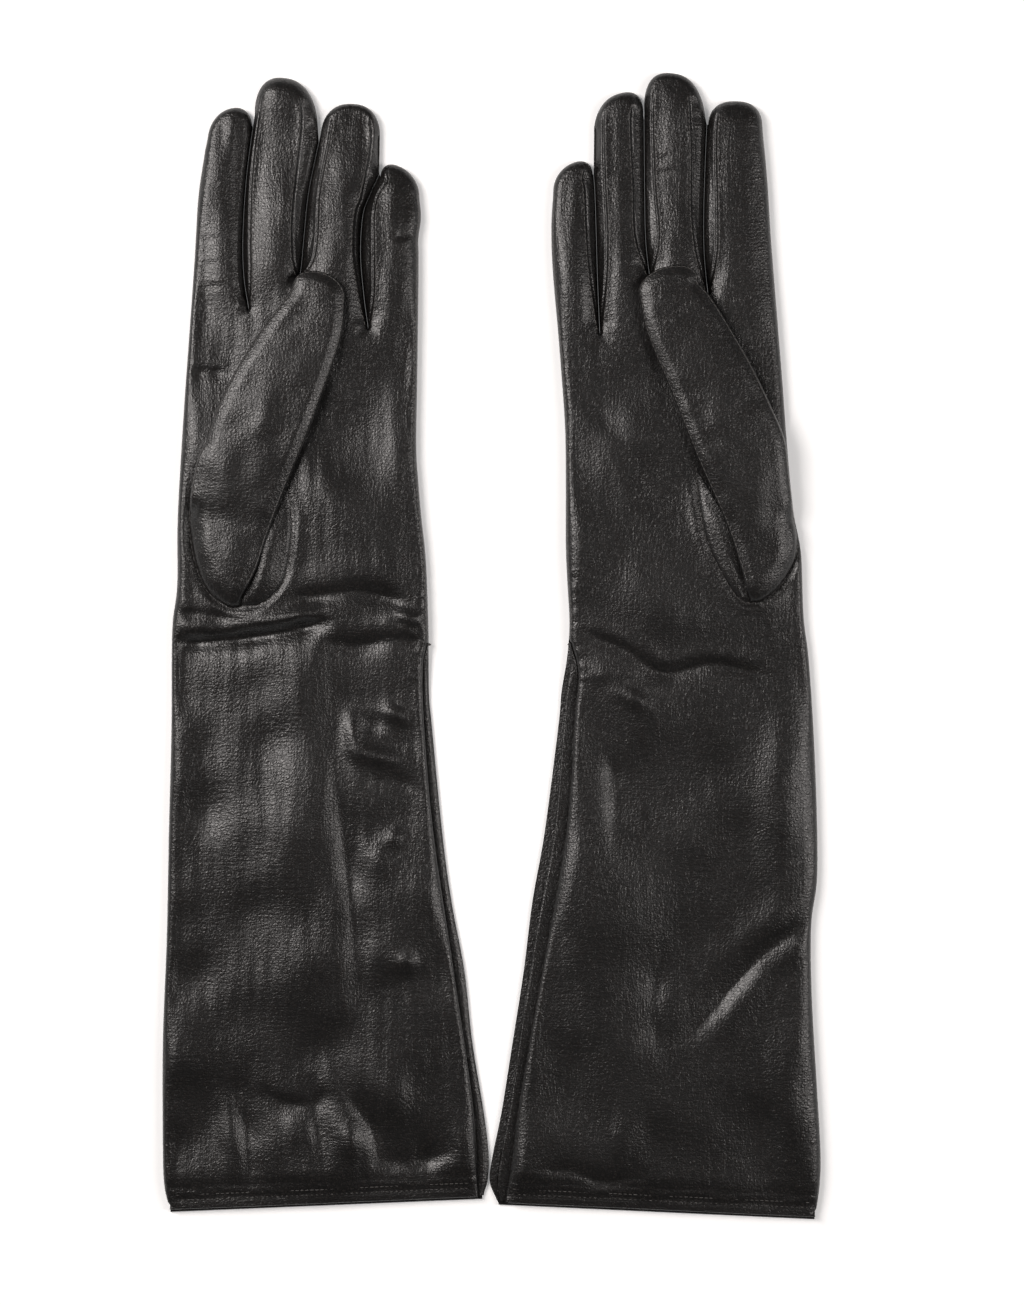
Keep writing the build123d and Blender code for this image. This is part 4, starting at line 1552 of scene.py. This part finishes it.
class Lining:
    """The thin lining inside the leather."""

    EDGE_CLEAR = 1.0  # least distance from the glove's edge
    HEM_CLEAR = 5.0  # and from the hem
    WALL = 0.9  # distance from the leather's outer face

    def __init__(self, skin: Skin) -> None:
        """Line skin."""
        self.skin = skin

    def build(self, place: Place, finishes: Finishes) -> None:
        """Make the linings of the sleeve and hand, and of the fingers."""
        skin = self.skin
        sheet = Sheet(skin.palm_loop, [], 2.6)
        depth = to_path(sheet.points, skin.palm_open)[0]
        keep = depth[sheet.faces].min(axis=1) > self.EDGE_CLEAR
        keep &= skin.above_hem(sheet.points)[sheet.faces].min(axis=1) > self.HEM_CLEAR
        faces = sheet.faces[keep]
        room = smoothstep(0.5, 4.0, depth)
        top = skin.palm(sheet.points)
        low = skin.back(sheet.points)
        middle = (top + low) / 2
        upper = middle + (top - self.WALL - middle) * room
        lower = middle + (low + self.WALL - middle) * room
        points = np.vstack([np.column_stack([sheet.points, z]) for z in (upper, lower)])
        body = Body(points, np.vstack([faces, faces[:, ::-1] + len(sheet.points)]))
        centre = body.points[body.faces].mean(axis=1)[:, :2]
        column = np.zeros(len(centre), int)
        for slot in skin.shape.slots:
            path = np.array(slot)
            column += centre[:, 0] > np.interp(centre[:, 1], path[:, 1], path[:, 0])
        labels = np.where(skin.past_knuckles(centre), np.array(FINGERS)[column], "hand")
        for name in ("hand", *FINGERS):
            part, _ = body.part(labels == name)
            nodes = ["sleeve_lining", "hand_lining"] if name == "hand" else [f"{name}_lining"]
            place.add(f"{name}_lining_cloth", part, finishes.lining, name, "lining", nodes)


class Glove:
    """One glove: its skin, gusset, hem, thumb, lining and stitches."""

    SEAM_INSET = 0.9  # distance of stitches from the seam or edge that they hold
    THUMB_INSET = 0.7
    LITTLE_START = 121.0  # where along the glove the little finger's side seam begins

    def __init__(self, shape: GloveShape, joints: list[dict], finishes: Finishes) -> None:
        """Work out a glove of that shape."""
        self.place = Place(shape.side, joints)
        self.skin = Skin(shape)
        self.finishes = finishes

    def build(self, stitcher: Stitcher) -> None:
        """Make every piece."""
        skin, place = self.skin, self.place
        Trank(skin).build(place, self.finishes)
        Gusset(skin).build(place, self.finishes)
        Hem(skin).build(place, self.finishes)
        thumb = Thumb(skin)
        thumb.build(place, self.finishes)
        Lining(skin).build(place, self.finishes)
        self._sew(stitcher, thumb)

    def _on_palm(self, path: Array, lift: float) -> Array:
        """A flat path laid on the palm's skin."""
        return np.column_stack([path, self.skin.palm(path) + lift])

    def _sew(self, stitcher: Stitcher, thumb: Thumb) -> None:
        """Sew the hem, the forks, the side seam, the thumb and the tack."""
        skin, place, shape = self.skin, self.place, self.skin.shape
        line = smooth_path([shape.hem[0], shape.hem[1]], 1.5)[2:-4]
        rows = [self._on_palm(line + np.array([0.0, up + skin.HEM_STEP]), 0.06) for up in skin.HEM_ROWS]
        stitcher.sew(place, "hem_stitches", rows, "sleeve", 1.9, 1.5, 0.38)
        inset = np.array([self.SEAM_INSET, 0.0])
        for name, seams in skin.seams.items():
            paths = []
            for label, path in seams.items():
                off = inset if label == "inner" else -inset
                paths.append(self._on_palm(path[2:-2] + off, 0.02))
            if paths:
                stitcher.sew(place, f"{name}_stitches", paths, name)
        side = smooth_path(shape.little_side)
        side = side[(side[:, 1] > 1.0)]
        little = side[:, 1] >= self.LITTLE_START
        for name, chosen in (("hand", ~little), ("little", little)):
            row = self._on_palm(side[chosen] - inset, 0.02)
            stitcher.sew(place, f"side_stitches_{name}", [row], name)
        stitcher.sew(place, "oval_stitches", [self._on_palm(thumb.oval, 0.35)], "hand_only")
        seam = thumb.seam(self.THUMB_INSET)
        seam = np.column_stack([seam, thumb.front(seam) + 0.02])
        stitcher.sew(place, "thumb_stitches", [seam], "thumb")
        edge = shape.palm_edge[0]
        tack = np.array([[edge[0] + d, edge[1] - 1.0, skin.EDGE] for d in (-1.6, -0.6, 0.2)])
        knot = stitcher.sew(place, "tack_thread", [tack], "hand_only", 0.6, 1.7, 1.0)
        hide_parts(f"{place.side}_gusset_tack")


# ---- Camera, light and table --------------------------------------------------------------
@dataclass(frozen=True)
class Lamp:
    """A soft rectangular lamp that faces the pair: its place and size in metres, its power in watts."""

    name: str
    place: tuple[float, float, float]
    size: Point
    power: float
    colour: tuple[float, float, float] = (1.0, 0.95, 0.925)

    def build(self) -> None:
        """Put up the lamp."""
        lamp = bpy.data.lights.new(self.name, "AREA")
        lamp.shape = "RECTANGLE"
        lamp.size, lamp.size_y = self.size
        lamp.energy = self.power
        lamp.color = self.colour
        obj = bpy.data.objects.new(self.name, lamp)
        obj.location = self.place
        obj.rotation_euler = (-Vector(self.place)).to_track_quat("-Z", "Y").to_euler()
        bpy.context.scene.collection.objects.link(obj)


@dataclass(frozen=True)
class Studio:
    """A camera straight above the pair, a pale table and soft light.

    aim and height are the camera's place, in millimetres. horizon holds the heights of a direction
    between which the surroundings fade, and strength their light at the first and the second.
    """

    aim: Point = (7.46, -2.6)
    height: float = 1387.0
    lens: float = 100.0
    table_half: float = 3.0
    horizon: Point = (0.10, 0.45)
    strength: Point = (0.85, 0.06)

    def build(self) -> None:
        """Set up the camera, the light and the table."""
        camera = bpy.data.cameras.new("camera")
        camera.lens = self.lens
        camera.sensor_width = 36.0
        eye = bpy.data.objects.new("camera", camera)
        eye.location = (self.aim[0] * MM, self.aim[1] * MM, self.height * MM)
        bpy.context.scene.collection.objects.link(eye)
        bpy.context.scene.camera = eye
        bpy.context.scene.view_settings.view_transform = "Standard"
        Lamp("key", (-0.78, 0.40, 1.10), (0.5, 0.8), 18.0).build()
        Lamp("fill", (1.00, -0.05, 1.00), (0.35, 0.9), 8.0).build()
        self._world()
        self._table()

    def _world(self) -> None:
        """Surroundings that are pale towards the horizon and dim overhead."""
        world = bpy.data.worlds.new("world")
        world.use_nodes = True
        tree = world.node_tree
        place = tree.nodes.new("ShaderNodeTexCoord")
        parts = tree.nodes.new("ShaderNodeSeparateXYZ")
        fade = tree.nodes.new("ShaderNodeMapRange")
        tree.links.new(place.outputs["Generated"], parts.inputs[0])
        tree.links.new(parts.outputs["Z"], fade.inputs["Value"])
        for name, (first, second) in (("From", self.horizon), ("To", self.strength)):
            fade.inputs[f"{name} Min"].default_value = first
            fade.inputs[f"{name} Max"].default_value = second
        background = tree.nodes["Background"]
        background.inputs["Color"].default_value = (1.0, 1.0, 1.0, 1.0)
        tree.links.new(fade.outputs["Result"], background.inputs["Strength"])
        bpy.context.scene.world = world

    def _table(self) -> None:
        """A plain pale surface just under the pair, which glows a little away from it."""
        mesh = bpy.data.meshes.new("table")
        half = self.table_half
        corners = [(-half, -half, 0), (half, -half, 0), (half, half, 0), (-half, half, 0)]
        mesh.from_pydata(corners, [], [(0, 1, 2, 3)])
        shader = Shader("table")
        place = shader.node("ShaderNodeTexCoord", {}, {}, "Object")
        away = shader.node("ShaderNodeVectorMath", {"operation": "LENGTH"}, {0: place}, "Value")
        glow = shader.node("ShaderNodeMapRange", {}, {0: away, 1: 0.3, 2: 1.6, 3: 0.22, 4: 0.75})
        finish = shader.finish(
            Base_Color=(0.93, 0.93, 0.93, 1.0),
            Roughness=0.9,
            Emission_Color=shader.mix(glow, (0.0, 0.0, 0.0, 1.0), (1.0, 1.0, 1.0, 1.0)),
            Emission_Strength=1.0,
        )
        mesh.materials.append(finish)
        table = bpy.data.objects.new("table", mesh)
        table.location = (0.0, 0.0, -0.0002)
        bpy.context.scene.collection.objects.link(table)


def main() -> None:
    """Build the pair on its frame."""
    logging.basicConfig(level=logging.INFO, format="%(message)s")
    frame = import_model()
    finishes = Finishes(
        leather=Leather("kid_leather").material(),
        lining=Cloth("lining_cloth").material(),
        thread=Thread("sewing_thread").material(),
    )
    stitcher = Stitcher(finishes)
    for shape in (left_shape(), right_shape()):
        Glove(shape, frame["joints"], finishes).build(stitcher)
    bpy.data.objects.remove(stitcher.stitch)
    Studio().build()


if __name__ == "__main__":
    main()
